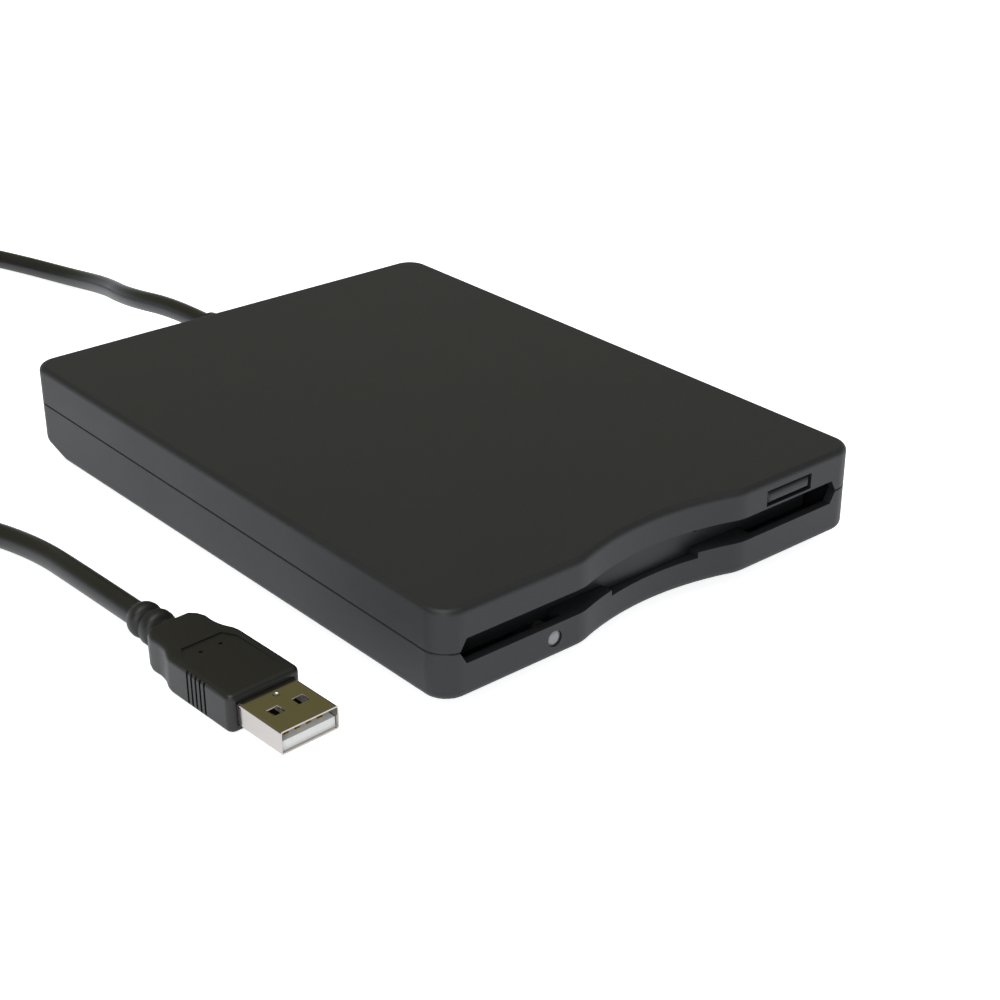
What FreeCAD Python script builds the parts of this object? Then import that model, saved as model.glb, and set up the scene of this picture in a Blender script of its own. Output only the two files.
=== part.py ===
import FreeCAD, Part
import math
import os
import re

import Sketcher

# External 3.5-inch floppy disk drive in a slim two-part case, with a captive lead.
# The frame: X to the right and Y to the rear as seen from the front, Z up.
# The origin is on the table under the middle of the case.

os.makedirs("parts", exist_ok=True)
doc = FreeCAD.newDocument("floppy_drive")
Vector = FreeCAD.Vector

# Driving sizes in millimetres and degrees. Names that end in _z are heights above the table,
# names that end in _x and _y are places in plan.
SIZES = [
    ("case_width", 104.0, "over the side walls"),
    ("case_length", 142.0, "front to rear"),
    ("top_z", 20.9, "top face"),
    ("parting_z", 12.5, "joint between the two covers"),
    ("under_front_z", 3.2, "underside at the front edge"),
    ("under_rear_z", 0.8, "underside at the rear edge"),
    ("wall", 1.8, "side and rear walls"),
    ("top_wall", 1.6, "top skin"),
    ("floor_z", 4.6, "inside face of the bottom cover"),
    ("corner_radius", 5.0, "plan corners"),
    ("top_edge_radius", 1.3, "round of the top edge"),
    ("under_edge_radius", 1.6, "round of the bottom edge"),
    ("scallop_radius", 58.0, "finger scallop in the front"),
    ("scallop_depth", 3.5, "depth of the scallop"),
    ("scallop_blend", 9.0, "round where the scallop meets the front"),
    ("rear_slope_run", 11.0, "sloped rear of the underside"),
    ("rear_slope_rise", 3.0, "rise of that slope"),
    ("front_skin", 1.3, "wall behind the scallop"),
    ("front_pocket_x", 24.0, "inner end of the front corner pockets"),
    ("slot_left_x", 48.0, "left end of the disk slot"),
    ("slot_right_x", 46.5, "right end of the disk slot"),
    ("slot_half", 2.45, "half height of the slot mouth"),
    ("slot_end_slope", 1.4, "slant of the slot ends"),
    ("notch_half_x", 11.0, "half width of the notch in the lower lip"),
    ("notch_drop", 1.2, "depth of that notch"),
    ("door_room_z", 8.0, "lower cover cut down behind its lip for the door"),
    ("gap", 0.3, "clearance of moving pieces"),
    ("seat", 0.05, "clearance of pieces fixed in holes"),
    ("door_y", -66.0, "front face of the dust door"),
    ("door_thick", 0.8, "plate of the door"),
    ("door_low_z", 8.5, "lower edge of the door"),
    ("door_axis_y", -64.9, "hinge line of the door"),
    ("door_axis_z", 14.3, "hinge line of the door"),
    ("door_barrel_radius", 0.9, "hinge barrel of the door"),
    ("door_pin_radius", 0.5, "hinge wire of the door"),
    ("door_left_x", 45.8, "left end of the door"),
    ("door_right_x", 43.0, "right end of the door"),
    ("door_spring_x", 12.0, "left end of the door spring's gap"),
    ("door_spring_room", 6.0, "gap in the barrel for the door spring"),
    ("ear_thick", 1.2, "ears that hold the hinge wire"),
    ("button_x", 32.7, "middle of the eject button"),
    ("button_width", 11.8, "eject button"),
    ("button_low_z", 15.7, "eject button"),
    ("button_height", 2.7, "eject button"),
    ("button_proud", 0.0, "button ahead of the front face"),
    ("button_length", 7.4, "cap of the button"),
    ("button_stem_width", 6.5, "stem behind the cap"),
    ("button_stem_thick", 1.2, "stem behind the cap"),
    ("led_x", -26.8, "busy light"),
    ("led_z", 7.2, "busy light"),
    ("led_radius", 1.55, "lens of the busy light"),
    ("led_dome", 0.45, "dome of the lens"),
    ("led_flange_radius", 2.1, "flange of the lens, inside the wall"),
    ("led_body_length", 2.0, "light behind the lens"),
    ("led_board_half", 5.0, "half width of the light's board"),
    ("led_board_thick", 0.8, "board of the light"),
    ("foot_radius", 4.0, "rubber feet"),
    ("foot_x", 43.0, "rubber feet"),
    ("foot_front_y", -57.0, "front feet"),
    ("foot_rear_y", 56.0, "rear feet"),
    ("foot_recess", 0.5, "feet let into the underside"),
    ("chassis_half_x", 48.0, "outside of the drive frame"),
    ("chassis_front_y", -60.0, "front of the drive frame"),
    ("chassis_rear_y", 58.0, "rear of the drive frame"),
    ("chassis_z", 5.0, "underside of the drive frame"),
    ("chassis_sheet", 0.8, "sheet of the drive frame"),
    ("chassis_top_z", 17.4, "top edge of the drive frame"),
    ("lid_sheet", 0.6, "lid of the drive frame"),
    ("lid_front_y", -58.0, "front edge of the lid"),
    ("lid_window_x", 9.0, "half width of the window over the head arm"),
    ("slide_sheet", 0.6, "eject slide"),
    ("slide_z", 6.4, "underside of the eject slide"),
    ("slide_front_y", -58.0, "eject slide"),
    ("slide_rear_y", 30.0, "eject slide"),
    ("slide_wall_z", 15.0, "top of the slide's side walls"),
    ("slide_strip", 4.0, "front strip of the slide"),
    ("slide_opening_x", 30.0, "half width of the slide's opening"),
    ("slide_tab_x", 30.0, "inner end of the tab that carries the button"),
    ("slide_tab_z", 15.5, "underside of that tab"),
    ("slide_tab_depth", 5.5, "tab along Y"),
    ("eject_travel", 4.5, "travel of button and slide"),
    ("cage_drop", 2.4, "drop of the disk cage"),
    ("cage_sheet", 0.6, "disk cage"),
    ("cage_front_y", -57.0, "disk cage"),
    ("cage_rear_y", 30.0, "disk cage"),
    ("cage_low_z", 9.8, "underside of the cage lips"),
    ("cage_high_z", 15.2, "top of the cage"),
    ("cage_lip_x", 41.0, "inner edge of the cage lips"),
    ("cage_window_x", 13.0, "half width of the head window"),
    ("cage_window_y", 2.0, "front of the head window"),
    ("pin_radius", 0.8, "cage guide pins"),
    ("pin_z", 12.4, "cage guide pins"),
    ("pin_front_y", -42.0, "front guide pins"),
    ("pin_rear_y", 16.0, "rear guide pins"),
    ("spindle_y", -16.0, "spindle"),
    ("shaft_radius", 2.0, "spindle shaft"),
    ("shaft_top_z", 10.0, "spindle shaft"),
    ("run_gap", 0.05, "running clearance of shafts"),
    ("bearing_radius", 4.0, "spindle bearing"),
    ("bearing_top_z", 7.3, "spindle bearing"),
    ("hub_radius", 12.5, "disk hub plate"),
    ("hub_thick", 0.5, "disk hub plate"),
    ("rotor_radius", 19.5, "rotor cup"),
    ("rotor_top_z", 8.1, "rotor cup"),
    ("rotor_sheet", 0.5, "rotor cup"),
    ("rotor_low_z", 6.5, "rim of the rotor cup"),
    ("magnet_thick", 2.6, "ring magnet"),
    ("drive_pin_x", 7.5, "drive pin on the hub"),
    ("drive_pin_radius", 1.4, "drive pin on the hub"),
    ("drive_pin_high", 1.2, "drive pin above the hub"),
    ("motor_board_thick", 0.4, "board under the spindle motor"),
    ("motor_board_half", 24.0, "half width of that board"),
    ("core_radius", 14.8, "stator core"),
    ("core_hub_radius", 6.4, "stator core"),
    ("core_low_z", 6.7, "stator core"),
    ("core_thick", 0.4, "stator core"),
    ("tooth_width", 1.8, "stator teeth"),
    ("coil_inner", 8.4, "start of a winding along its tooth"),
    ("coil_length", 4.8, "winding along its tooth"),
    ("coil_width", 3.6, "winding across its tooth"),
    ("coil_low_z", 6.3, "windings"),
    ("coil_high", 1.1, "windings"),
    ("head_y", 23.5, "heads at the outer track"),
    ("head_half", 2.2, "half size of a head"),
    ("head_tip_z", 9.7, "lower head"),
    ("head_open_z", 14.6, "upper head when lifted"),
    ("arm_z", 15.3, "underside of the head arm"),
    ("arm_sheet", 0.7, "head arm"),
    ("arm_half_x", 4.0, "half width of the head arm"),
    ("arm_pivot_y", 46.0, "pivot of the head arm"),
    ("arm_pivot_z", 14.9, "pivot of the head arm"),
    ("arm_barrel_radius", 1.2, "pivot of the head arm"),
    ("arm_pin_radius", 0.6, "pivot pin of the head arm"),
    ("carriage_z", 6.3, "underside of the carriage"),
    ("carriage_nose_z", 7.9, "top of the carriage nose"),
    ("carriage_nose_x", 5.0, "half width of the carriage nose"),
    ("carriage_y", 36.5, "front of the carriage block"),
    ("carriage_rear_y", 49.0, "rear of the carriage block"),
    ("carriage_half_x", 9.0, "half width of the carriage block"),
    ("carriage_top_z", 11.5, "top of the carriage block"),
    ("rod_radius", 1.0, "guide rod"),
    ("rod_x", -14.0, "guide rod"),
    ("rod_z", 8.0, "guide rod"),
    ("rod_front_y", 21.5, "guide rod"),
    ("rod_mount", 1.6, "rod supports along Y"),
    ("screw_x", 19.0, "lead screw"),
    ("screw_z", 10.6, "lead screw"),
    ("screw_radius", 1.3, "lead screw"),
    ("screw_front_y", 31.0, "lead screw"),
    ("screw_bracket", 1.1, "bracket at the tip of the lead screw"),
    ("nut_y", 47.2, "nut arm of the carriage"),
    ("nut_thick", 1.6, "nut arm of the carriage"),
    ("stepper_y", 50.6, "front of the stepper motor"),
    ("stepper_length", 6.0, "stepper motor"),
    ("stepper_radius", 5.0, "stepper motor"),
    ("latch_x", -25.0, "latch lever pivot"),
    ("latch_y", 38.5, "latch lever pivot"),
    ("latch_z", 8.8, "underside of the latch lever"),
    ("latch_thick", 0.8, "latch lever"),
    ("latch_reach", 15.0, "long arm of the latch lever"),
    ("latch_nose", 7.0, "short arm of the latch lever"),
    ("latch_arm", 3.2, "width of the latch arms"),
    ("post_radius", 1.1, "latch post"),
    ("post_top_z", 12.6, "latch post"),
    ("spring_wall", 0.45, "wire of the springs"),
    ("spring_radius", 1.2, "slide springs"),
    ("spring_x", 44.4, "slide springs"),
    ("spring_z", 9.0, "slide springs"),
    ("switch_half", 2.0, "detector switches"),
    ("switch_y", -47.0, "detector switches"),
    ("switch_x", 26.0, "write-protect and density switches"),
    ("switch_mid_x", 10.0, "disk-in switch"),
    ("switch_top_z", 8.3, "detector switches"),
    ("switch_pin_radius", 0.7, "detector pins"),
    ("switch_pin_top_z", 10.3, "detector pins"),
    ("switch_pin_length", 2.5, "detector pins"),
    ("switch_travel", 1.1, "detector pins"),
    ("drive_board_x", 26.0, "drive board, inner edge"),
    ("drive_board_width", 16.0, "drive board"),
    ("drive_board_y", 36.0, "drive board"),
    ("drive_board_z", 7.2, "drive board"),
    ("board_thick", 1.0, "circuit boards"),
    ("usb_board_y", 59.2, "interface board"),
    ("usb_board_depth", 8.4, "interface board"),
    ("usb_board_half", 38.0, "half width of the interface board"),
    ("usb_board_z", 7.4, "interface board"),
    ("chip_side", 7.0, "controller chip"),
    ("chip_high", 1.2, "chips"),
    ("chip_x", -20.0, "left edge of the controller chip"),
    ("crystal_x", 11.0, "left edge of the crystal"),
    ("crystal_length", 7.0, "crystal can"),
    ("crystal_depth", 3.5, "crystal can"),
    ("crystal_high", 2.6, "crystal can"),
    ("header_half", 5.0, "half width of the lead's header"),
    ("lead_exit_z", 12.5, "middle of the lead at the rear wall"),
    ("lead_diameter", 4.8, "round lead"),
    ("relief_radius", 4.0, "strain relief"),
    ("relief_length", 12.5, "strain relief outside the rear wall"),
    ("relief_neck", 3.2, "strain relief in the rear wall"),
    ("relief_flange", 4.6, "strain relief inside the rear wall"),
    ("relief_flange_thick", 1.4, "strain relief inside the rear wall"),
    ("wire_radius", 0.45, "wires of the lead"),
    ("wire_pitch", 1.6, "wires of the lead"),
    ("screw_head_radius", 2.2, "case and board screws"),
    ("screw_head_high", 1.1, "case and board screws"),
    ("screw_shank_radius", 1.0, "case and board screws"),
    ("case_screw_x", 45.5, "case screws"),
    ("case_screw_y", 63.5, "case screws"),
    ("boss_radius", 2.6, "screw bosses"),
    ("board_screw_x", 23.5, "board screws"),
    ("drive_screw_x", 38.0, "drive screws"),
    ("drive_screw_front_y", -48.0, "drive screws"),
    ("drive_screw_rear_y", 40.0, "drive screws"),
    ("plug_x", -73.6, "mouth end of the plug body"),
    ("plug_y", -50.7, "mouth end of the plug body"),
    ("plug_z", 3.8, "middle of the plug"),
    ("plug_turn", 2.8, "turn of the plug about Z"),
    ("plug_width", 15.0, "plug body"),
    ("plug_high", 7.4, "plug body"),
    ("plug_grip", 18.0, "wide part of the plug body"),
    ("plug_body_length", 29.0, "plug body"),
    ("plug_waist", 6.0, "half width behind the grip"),
    ("plug_tail", 4.3, "half width at the tail"),
    ("plug_round", 1.0, "edges of the plug body"),
    ("plug_ring_radius", 3.6, "rings of the plug's strain relief"),
    ("plug_neck_radius", 3.0, "neck of the plug's strain relief"),
    ("plug_neck_length", 10.0, "plug's strain relief"),
    ("shell_width", 12.0, "plug shell"),
    ("shell_high", 4.5, "plug shell"),
    ("shell_length", 12.0, "plug shell outside the body"),
    ("shell_root", 4.0, "plug shell inside the body"),
    ("shell_sheet", 0.3, "plug shell"),
    ("shell_hole", 2.2, "square holes of the shell"),
    ("shell_hole_x", 2.6, "square holes of the shell"),
    ("shell_hole_y", 6.2, "square holes of the shell"),
    ("tongue_thick", 1.9, "tongue in the shell"),
    ("contact_width", 1.0, "contacts"),
    ("contact_pitch", 2.3, "contacts"),
    ("contact_thick", 0.2, "contacts"),
    ("coil_x", -54.0, "middle of the put-away coil"),
    ("coil_y", 184.3, "middle of the put-away coil"),
    ("coil_radius", 28.7, "outer turn of the put-away coil"),
    ("coil_pitch", 5.4, "from one turn to the next, sideways and up"),
    ("coil_turns", 2.25, "put-away coil"),
    ("tie_width", 5.0, "tie round the coil"),
    ("tie_thick", 0.8, "tie round the coil"),
]
size = {}
sheet = doc.addObject("Spreadsheet::Sheet", "Sizes")
for row, (name, value, note) in enumerate(SIZES, start=1):
    sheet.set(f"A{row}", name)
    sheet.set(f"B{row}", str(value))
    sheet.set(f"C{row}", note)
    sheet.setAlias(f"B{row}", name)
    size[name] = value
doc.recompute()

nodes = {}


def bind(target, field, text):
    """Ties one field of an object to the sheet; plain words in the text are sheet names."""
    words = re.sub(r"[a-z][a-z_]+", lambda found: link_word(found.group(0)), str(text))
    target.setExpression(field, words)


def link_word(word):
    return f"Sizes.{word}" if word in size else word


def place(target, x="0", y="0", z="0"):
    bind(target, "Placement.Base.x", x)
    bind(target, "Placement.Base.y", y)
    bind(target, "Placement.Base.z", z)


def block(x, y, z):
    """A box between two limits along each axis."""
    made = doc.addObject("Part::Box", "Block")
    for field, (low, high) in zip(("Length", "Width", "Height"), (x, y, z)):
        bind(made, field, f"({high}) - ({low})")
    place(made, x[0], y[0], z[0])
    return made


TURNS = {
    "x": FreeCAD.Rotation(Vector(0, 1, 0), 90),
    "y": FreeCAD.Rotation(Vector(1, 0, 0), -90),
    "z": FreeCAD.Rotation(),
}


def rod(axis, radius, start, length):
    """A cylinder that runs from its start point along plus X, Y or Z."""
    made = doc.addObject("Part::Cylinder", "Rod")
    made.Placement = FreeCAD.Placement(Vector(), TURNS[axis])
    bind(made, "Radius", radius)
    bind(made, "Height", length)
    place(made, *start)
    return made


def fuse(*pieces):
    made = doc.addObject("Part::MultiFuse", "Joined")
    made.Shapes = list(pieces)
    return made


def cut(base, *tools):
    made = doc.addObject("Part::Cut", "Cut")
    made.Base = base
    made.Tool = tools[0] if len(tools) == 1 else fuse(*tools)
    return made


def group(*pieces):
    made = doc.addObject("Part::Compound", "Group")
    made.Links = list(pieces)
    return made


def ring(axis, outer, inner, start, length):
    return cut(rod(axis, outer, start, length), rod(axis, inner, start, length))


def node(name, made):
    """Names a finished sub-part; the name is also its file."""
    made.Label = name
    nodes[name] = made
    return made


def body_plane(body, role):
    return next(item for item in body.Origin.OriginFeatures if item.Role == role)


def sketch_on(body, role, offset):
    sketch = body.newObject("Sketcher::SketchObject", "Sketch")
    sketch.AttachmentSupport = [(body_plane(body, role), "")]
    sketch.MapMode = "FlatFace"
    bind(sketch, "AttachmentOffset.Base.z", offset)
    return sketch


def outline(body, role, offset, points):
    """A closed outline of straight lines whose corners are tied to the sheet."""
    sketch = sketch_on(body, role, offset)
    count = len(points)
    corners = [
        Vector(math.cos(2 * math.pi * step / count), math.sin(2 * math.pi * step / count), 0)
        for step in range(count)
    ]
    for step in range(count):
        sketch.addGeometry(Part.LineSegment(corners[step], corners[(step + 1) % count]), False)
    for step in range(count):
        sketch.addConstraint(Sketcher.Constraint("Coincident", step, 2, (step + 1) % count, 1))
    for step, (across, along) in enumerate(points):
        reaches = (("DistanceX", across, corners[step].x), ("DistanceY", along, corners[step].y))
        for kind, text, start in reaches:
            index = sketch.addConstraint(Sketcher.Constraint(kind, -1, 1, step, 1, start))
            bind(sketch, f"Constraints[{index}]", text)
    return sketch


def rectangle(body, role, offset, across, along):
    corners = [(across[0], along[0]), (across[1], along[0]), (across[1], along[1]), (across[0], along[1])]
    return outline(body, role, offset, corners)


def disc(body, role, offset, across, along, radius):
    sketch = sketch_on(body, role, offset)
    sketch.addGeometry(Part.Circle(Vector(1, 1, 0), Vector(0, 0, 1), 1), False)
    for kind, text in (("DistanceX", across), ("DistanceY", along)):
        index = sketch.addConstraint(Sketcher.Constraint(kind, -1, 1, 0, 3, 1.0))
        bind(sketch, f"Constraints[{index}]", text)
    index = sketch.addConstraint(Sketcher.Constraint("Radius", 0, 1.0))
    bind(sketch, f"Constraints[{index}]", radius)
    return sketch


def pad(body, sketch, length):
    made = body.newObject("PartDesign::Pad", "Pad")
    made.Profile = sketch
    bind(made, "Length", length)
    return made


def pocket(body, sketch, length, along_normal=True):
    """Cuts from the sketch along its normal, or against it, and checks that it cut something."""
    doc.recompute()
    before = body.Shape.Volume
    made = body.newObject("PartDesign::Pocket", "Pocket")
    made.Profile = sketch
    made.Reversed = along_normal
    bind(made, "Length", length)
    doc.recompute()
    if not body.Shape.Volume < before:
        raise ValueError(f"a pocket in {body.Label} cut nothing")
    return made


def round_edges(body, radius, wanted):
    """Rounds the edges of a body that the given test picks."""
    doc.recompute()
    base = body.Tip
    names = [f"Edge{index}" for index, edge in enumerate(base.Shape.Edges, start=1) if wanted(edge)]
    made = body.newObject("PartDesign::Fillet", "Fillet")
    made.Base = (base, names)
    bind(made, "Radius", radius)
    doc.recompute()
    return made


def upright(edge):
    ends = [vertex.Point for vertex in edge.Vertexes]
    return len(ends) == 2 and abs(ends[0].x - ends[1].x) < 1e-6 and abs(ends[0].y - ends[1].y) < 1e-6


def scallop_outside(body, offset):
    centre = "-case_length / 2 + scallop_depth - scallop_radius"
    return disc(body, "XY_Plane", offset, "0", centre, "scallop_radius")


def case_block(body, low, high):
    """The plan of the case between two heights: rounded corners and the finger scallop."""
    half_x = "case_width / 2"
    half_y = "case_length / 2"
    plan = rectangle(body, "XY_Plane", low, (f"-{half_x}", half_x), (f"-{half_y}", half_y))
    pad(body, plan, f"({high}) - ({low})")
    round_edges(body, "corner_radius", upright)
    pocket(body, scallop_outside(body, low), f"({high}) - ({low})")
    meets = size["case_width"] / 4 + size["corner_radius"]
    front = -size["case_length"] / 2

    def scallop_end(edge):
        middle = edge.BoundBox.Center
        return upright(edge) and abs(middle.x) < meets and abs(middle.y - front) < 0.01

    round_edges(body, "scallop_blend", scallop_end)


INNER_X = "(case_width / 2 - wall)"
INNER_REAR = "(case_length / 2 - wall)"
INNER_FRONT = "(-case_length / 2 + scallop_depth + front_skin)"
CORNER_FRONT = "(-case_length / 2 + wall)"


def hollow(body, low, high):
    """The inside of a cover, with pockets either side of the scallop."""
    room = f"({high}) - ({low})"
    main = rectangle(body, "XY_Plane", low, (f"-{INNER_X}", INNER_X), (INNER_FRONT, INNER_REAR))
    pocket(body, main, room)
    for inner, outer in (("front_pocket_x", INNER_X), ("-front_pocket_x", f"-{INNER_X}")):
        side = rectangle(body, "XY_Plane", low, (inner, outer), (CORNER_FRONT, f"{INNER_FRONT} + wall"))
        pocket(body, side, room)


def slot_half(body, edge_z):
    """One half of the disk slot: a mouth with slanted ends, cut back through the front wall."""
    mouth = [
        ("-slot_left_x", "parting_z"),
        ("slot_right_x", "parting_z"),
        ("slot_right_x - slot_end_slope", edge_z),
        ("-slot_left_x + slot_end_slope", edge_z),
    ]
    sketch = outline(body, "XZ_Plane", "case_length / 2 + wall", mouth)
    pocket(body, sketch, "wall * 2 + scallop_depth + front_skin", along_normal=False)


# Top cover: moulded shell with a slot mouth, a hole for the button and ears for the door's wire
top = doc.addObject("PartDesign::Body", "TopCover")
case_block(top, "parting_z", "top_z")


def top_rim(edge):
    box = edge.BoundBox
    return abs(box.ZMin - size["top_z"]) < 1e-4 and abs(box.ZMax - size["top_z"]) < 1e-4


round_edges(top, "top_edge_radius", top_rim)
hollow(top, "parting_z", "top_z - top_wall")
slot_half(top, "parting_z + slot_half")
button_hole = rectangle(
    top,
    "XZ_Plane",
    "case_length / 2 + wall",
    ("button_x - button_width / 2 - gap", "button_x + button_width / 2 + gap"),
    ("button_low_z - gap", "button_low_z + button_height + gap"),
)
pocket(top, button_hole, "wall * 2 + gap", along_normal=False)

EAR_Y = ("door_axis_y - 1.2", "door_axis_y + 1.1")
EAR_Z = ("door_axis_z - 0.9", "top_z - top_wall")
left_ear = block(("-door_left_x - gap - ear_thick", "-door_left_x - gap"), EAR_Y, EAR_Z)
right_ear = block(("door_right_x + gap", "door_right_x + gap + ear_thick"), EAR_Y, EAR_Z)
top_bosses = []
for side in ("-", ""):
    start = (f"{side}case_screw_x", "case_screw_y", "parting_z - 3")
    top_bosses.append(rod("z", "boss_radius", start, "top_z - top_wall - parting_z + 3"))
wire_hole = rod(
    "x",
    "door_pin_radius + run_gap",
    ("-case_width / 2 + wall", "door_axis_y", "door_axis_z"),
    "case_width - wall * 2",
)
boss_holes = []
for side in ("-", ""):
    start = (f"{side}case_screw_x", "case_screw_y", "parting_z - 4")
    boss_holes.append(rod("z", "screw_shank_radius + seat", start, "6"))
relief_hole = rod("y", "relief_neck + seat", ("0", INNER_REAR + " - 1", "lead_exit_z"), "wall + 2")
node("top_cover", cut(fuse(top, left_ear, right_ear, *top_bosses), wire_hole, relief_hole, *boss_holes))

# Bottom cover: shell with a sloping underside, seats for the drive, board posts and foot recesses
base = doc.addObject("PartDesign::Body", "BottomCover")
case_block(base, "under_rear_z", "parting_z")
HALF_X = "case_width / 2 + wall"
HALF_Y = "case_length / 2"
FALL = "(under_front_z - under_rear_z)"
slope = [
    (f"-{HALF_Y} - wall", "under_rear_z - wall"),
    (HALF_Y, "under_rear_z - wall"),
    (HALF_Y, "under_rear_z"),
    (f"-{HALF_Y} - wall", f"under_front_z + {FALL} * wall / case_length"),
]
pocket(base, outline(base, "YZ_Plane", f"-({HALF_X})", slope), f"({HALF_X}) * 2")
rear_slope = [
    (f"{HALF_Y} - rear_slope_run", "under_rear_z - wall"),
    (f"{HALF_Y} + wall", "under_rear_z - wall"),
    (f"{HALF_Y} + wall", "under_rear_z + rear_slope_rise * (1 + wall / rear_slope_run)"),
    (f"{HALF_Y} - rear_slope_run", f"under_rear_z + {FALL} * rear_slope_run / case_length"),
]
pocket(base, outline(base, "YZ_Plane", f"-({HALF_X})", rear_slope), f"({HALF_X}) * 2")


def under_rim(edge):
    box = edge.BoundBox
    if box.ZMax > size["under_front_z"] + size["rear_slope_rise"] + 0.2:
        return False
    half_x = size["case_width"] / 2
    half_y = size["case_length"] / 2
    inset = size["corner_radius"] + 0.1
    across_only = box.XLength > half_x and box.YLength < 0.01 and abs(box.YMin) < half_y - 1
    return not across_only and (
        max(abs(box.XMin), abs(box.XMax)) > half_x - inset
        or box.YMax < -half_y + inset + size["scallop_depth"]
    )


round_edges(base, "under_edge_radius", under_rim)
hollow(base, "floor_z", "parting_z")
slot_half(base, "parting_z - slot_half")
notch = rectangle(
    base,
    "XZ_Plane",
    "case_length / 2 + wall",
    ("-notch_half_x", "notch_half_x"),
    ("parting_z - slot_half - notch_drop", "parting_z"),
)
pocket(base, notch, "wall * 2 + scallop_depth + front_skin", along_normal=False)


def underside(y):
    """Height of the sloping underside at a place along Y."""
    return f"(under_front_z - {FALL} * (({y}) + case_length / 2) / case_length)"


PADS = [("foot_front_y", "-"), ("foot_front_y", ""), ("foot_rear_y", "-"), ("foot_rear_y", "")]
recesses = []
feet = []
for y, side in PADS:
    start = (f"{side}foot_x", y, "-1")
    recesses.append(rod("z", "foot_radius + seat", start, f"1 + {underside(y)} + foot_recess"))
    feet.append(rod("z", "foot_radius", (f"{side}foot_x", y, "0"), f"{underside(y)} + foot_recess"))
seats = []
DRIVE_SCREWS = [(side, y) for y in ("drive_screw_front_y", "drive_screw_rear_y") for side in ("-", "")]
for side, y in DRIVE_SCREWS:
    seats.append(rod("z", "boss_radius", (f"{side}drive_screw_x", y, "floor_z - 0.5"),
                     "chassis_z - floor_z + 0.5"))
for side in ("-", ""):
    seats.append(rod("z", "boss_radius", (f"{side}board_screw_x", "case_screw_y", "floor_z - 0.5"),
                     "usb_board_z - floor_z + 0.5"))
    seats.append(rod("z", "boss_radius", (f"{side}case_screw_x", "case_screw_y", "floor_z - 0.5"),
                     "parting_z - 3 - floor_z + 0.5"))
screw_holes = []
case_screws = []
board_screws = []
drive_screws = []
for side in ("-", ""):
    x = f"{side}case_screw_x"
    head_top = "(under_rear_z + rear_slope_rise + screw_head_high)"
    screw_holes.append(rod("z", "screw_head_radius + gap", (x, "case_screw_y", "-1"), f"1 + {head_top}"))
    screw_holes.append(rod("z", "screw_shank_radius + seat", (x, "case_screw_y", "0"), "parting_z"))
    case_screws.append(fuse(
        rod("z", "screw_head_radius", (x, "case_screw_y", f"{head_top} - screw_head_high"),
            "screw_head_high"),
        rod("z", "screw_shank_radius", (x, "case_screw_y", head_top), f"parting_z + 1.5 - {head_top}"),
    ))
    x = f"{side}board_screw_x"
    board_top = "usb_board_z + board_thick"
    screw_holes.append(rod("z", "screw_shank_radius + seat", (x, "case_screw_y", "floor_z"), "usb_board_z"))
    board_screws.append(fuse(
        rod("z", "screw_head_radius", (x, "case_screw_y", board_top), "screw_head_high"),
        rod("z", "screw_shank_radius", (x, "case_screw_y", "floor_z + 0.4"), f"{board_top} - floor_z"),
    ))
for side, y in DRIVE_SCREWS:
    x = f"{side}drive_screw_x"
    head_low = f"({underside(y)} + 0.2)"
    screw_holes.append(rod("z", "screw_head_radius + gap", (x, y, "-1"), f"1 + {head_low} + screw_head_high"))
    screw_holes.append(rod("z", "screw_shank_radius + seat", (x, y, "0"), "chassis_z + 1"))
    drive_screws.append(fuse(
        rod("z", "screw_head_radius", (x, y, head_low), "screw_head_high"),
        rod("z", "screw_shank_radius", (x, y, head_low), f"chassis_z + chassis_sheet - {head_low}"),
    ))
door_room = block(("-door_left_x - gap", "door_right_x + gap"), (INNER_FRONT, f"{INNER_FRONT} + 3"),
                  ("door_room_z", "parting_z + 1"))
led_hole = rod("y", "led_radius + seat", ("led_x", "-case_length / 2 - 1", "led_z"), "wall + 3")
led_seat = rod("y", "led_flange_radius + seat", ("led_x", f"{CORNER_FRONT} - 0.2", "led_z"), "3")
node("bottom_cover",
     cut(fuse(base, *seats), door_room, led_hole, led_seat, relief_hole, *recesses, *screw_holes))
node("rubber_feet", group(*feet))
node("case_screws", group(*case_screws))
node("board_screws", group(*board_screws))
node("drive_screws", group(*drive_screws))

# Dust door: thin flap behind the slot on a hinge wire
door_x = ("-door_left_x", "door_right_x")
door_plate = block(door_x, ("door_y", "door_y + door_thick"), ("door_low_z", "door_axis_z + 0.3"))
door_barrel = rod("x", "door_barrel_radius", ("-door_left_x", "door_axis_y", "door_axis_z"),
                  "door_left_x + door_right_x")
door_bore = rod("x", "door_pin_radius + run_gap", ("-door_left_x - 1", "door_axis_y", "door_axis_z"),
                "door_left_x + door_right_x + 2")
spring_gap = block(("door_spring_x", "door_spring_x + door_spring_room"), ("door_y - 1", "door_axis_y + 2"),
                   ("door_axis_z - 1.3", "door_axis_z + 2"))
node("dust_door", cut(fuse(door_plate, door_barrel), door_bore, spring_gap))
node("door_wire",
     rod("x", "door_pin_radius", ("-door_left_x - gap - ear_thick", "door_axis_y", "door_axis_z"),
         "door_left_x + door_right_x + (gap + ear_thick) * 2"))
node("door_spring", ring("x", "door_barrel_radius - 0.1", "door_pin_radius + run_gap",
                         ("door_spring_x + 0.4", "door_axis_y", "door_axis_z"), "door_spring_room - 0.8"))

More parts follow.
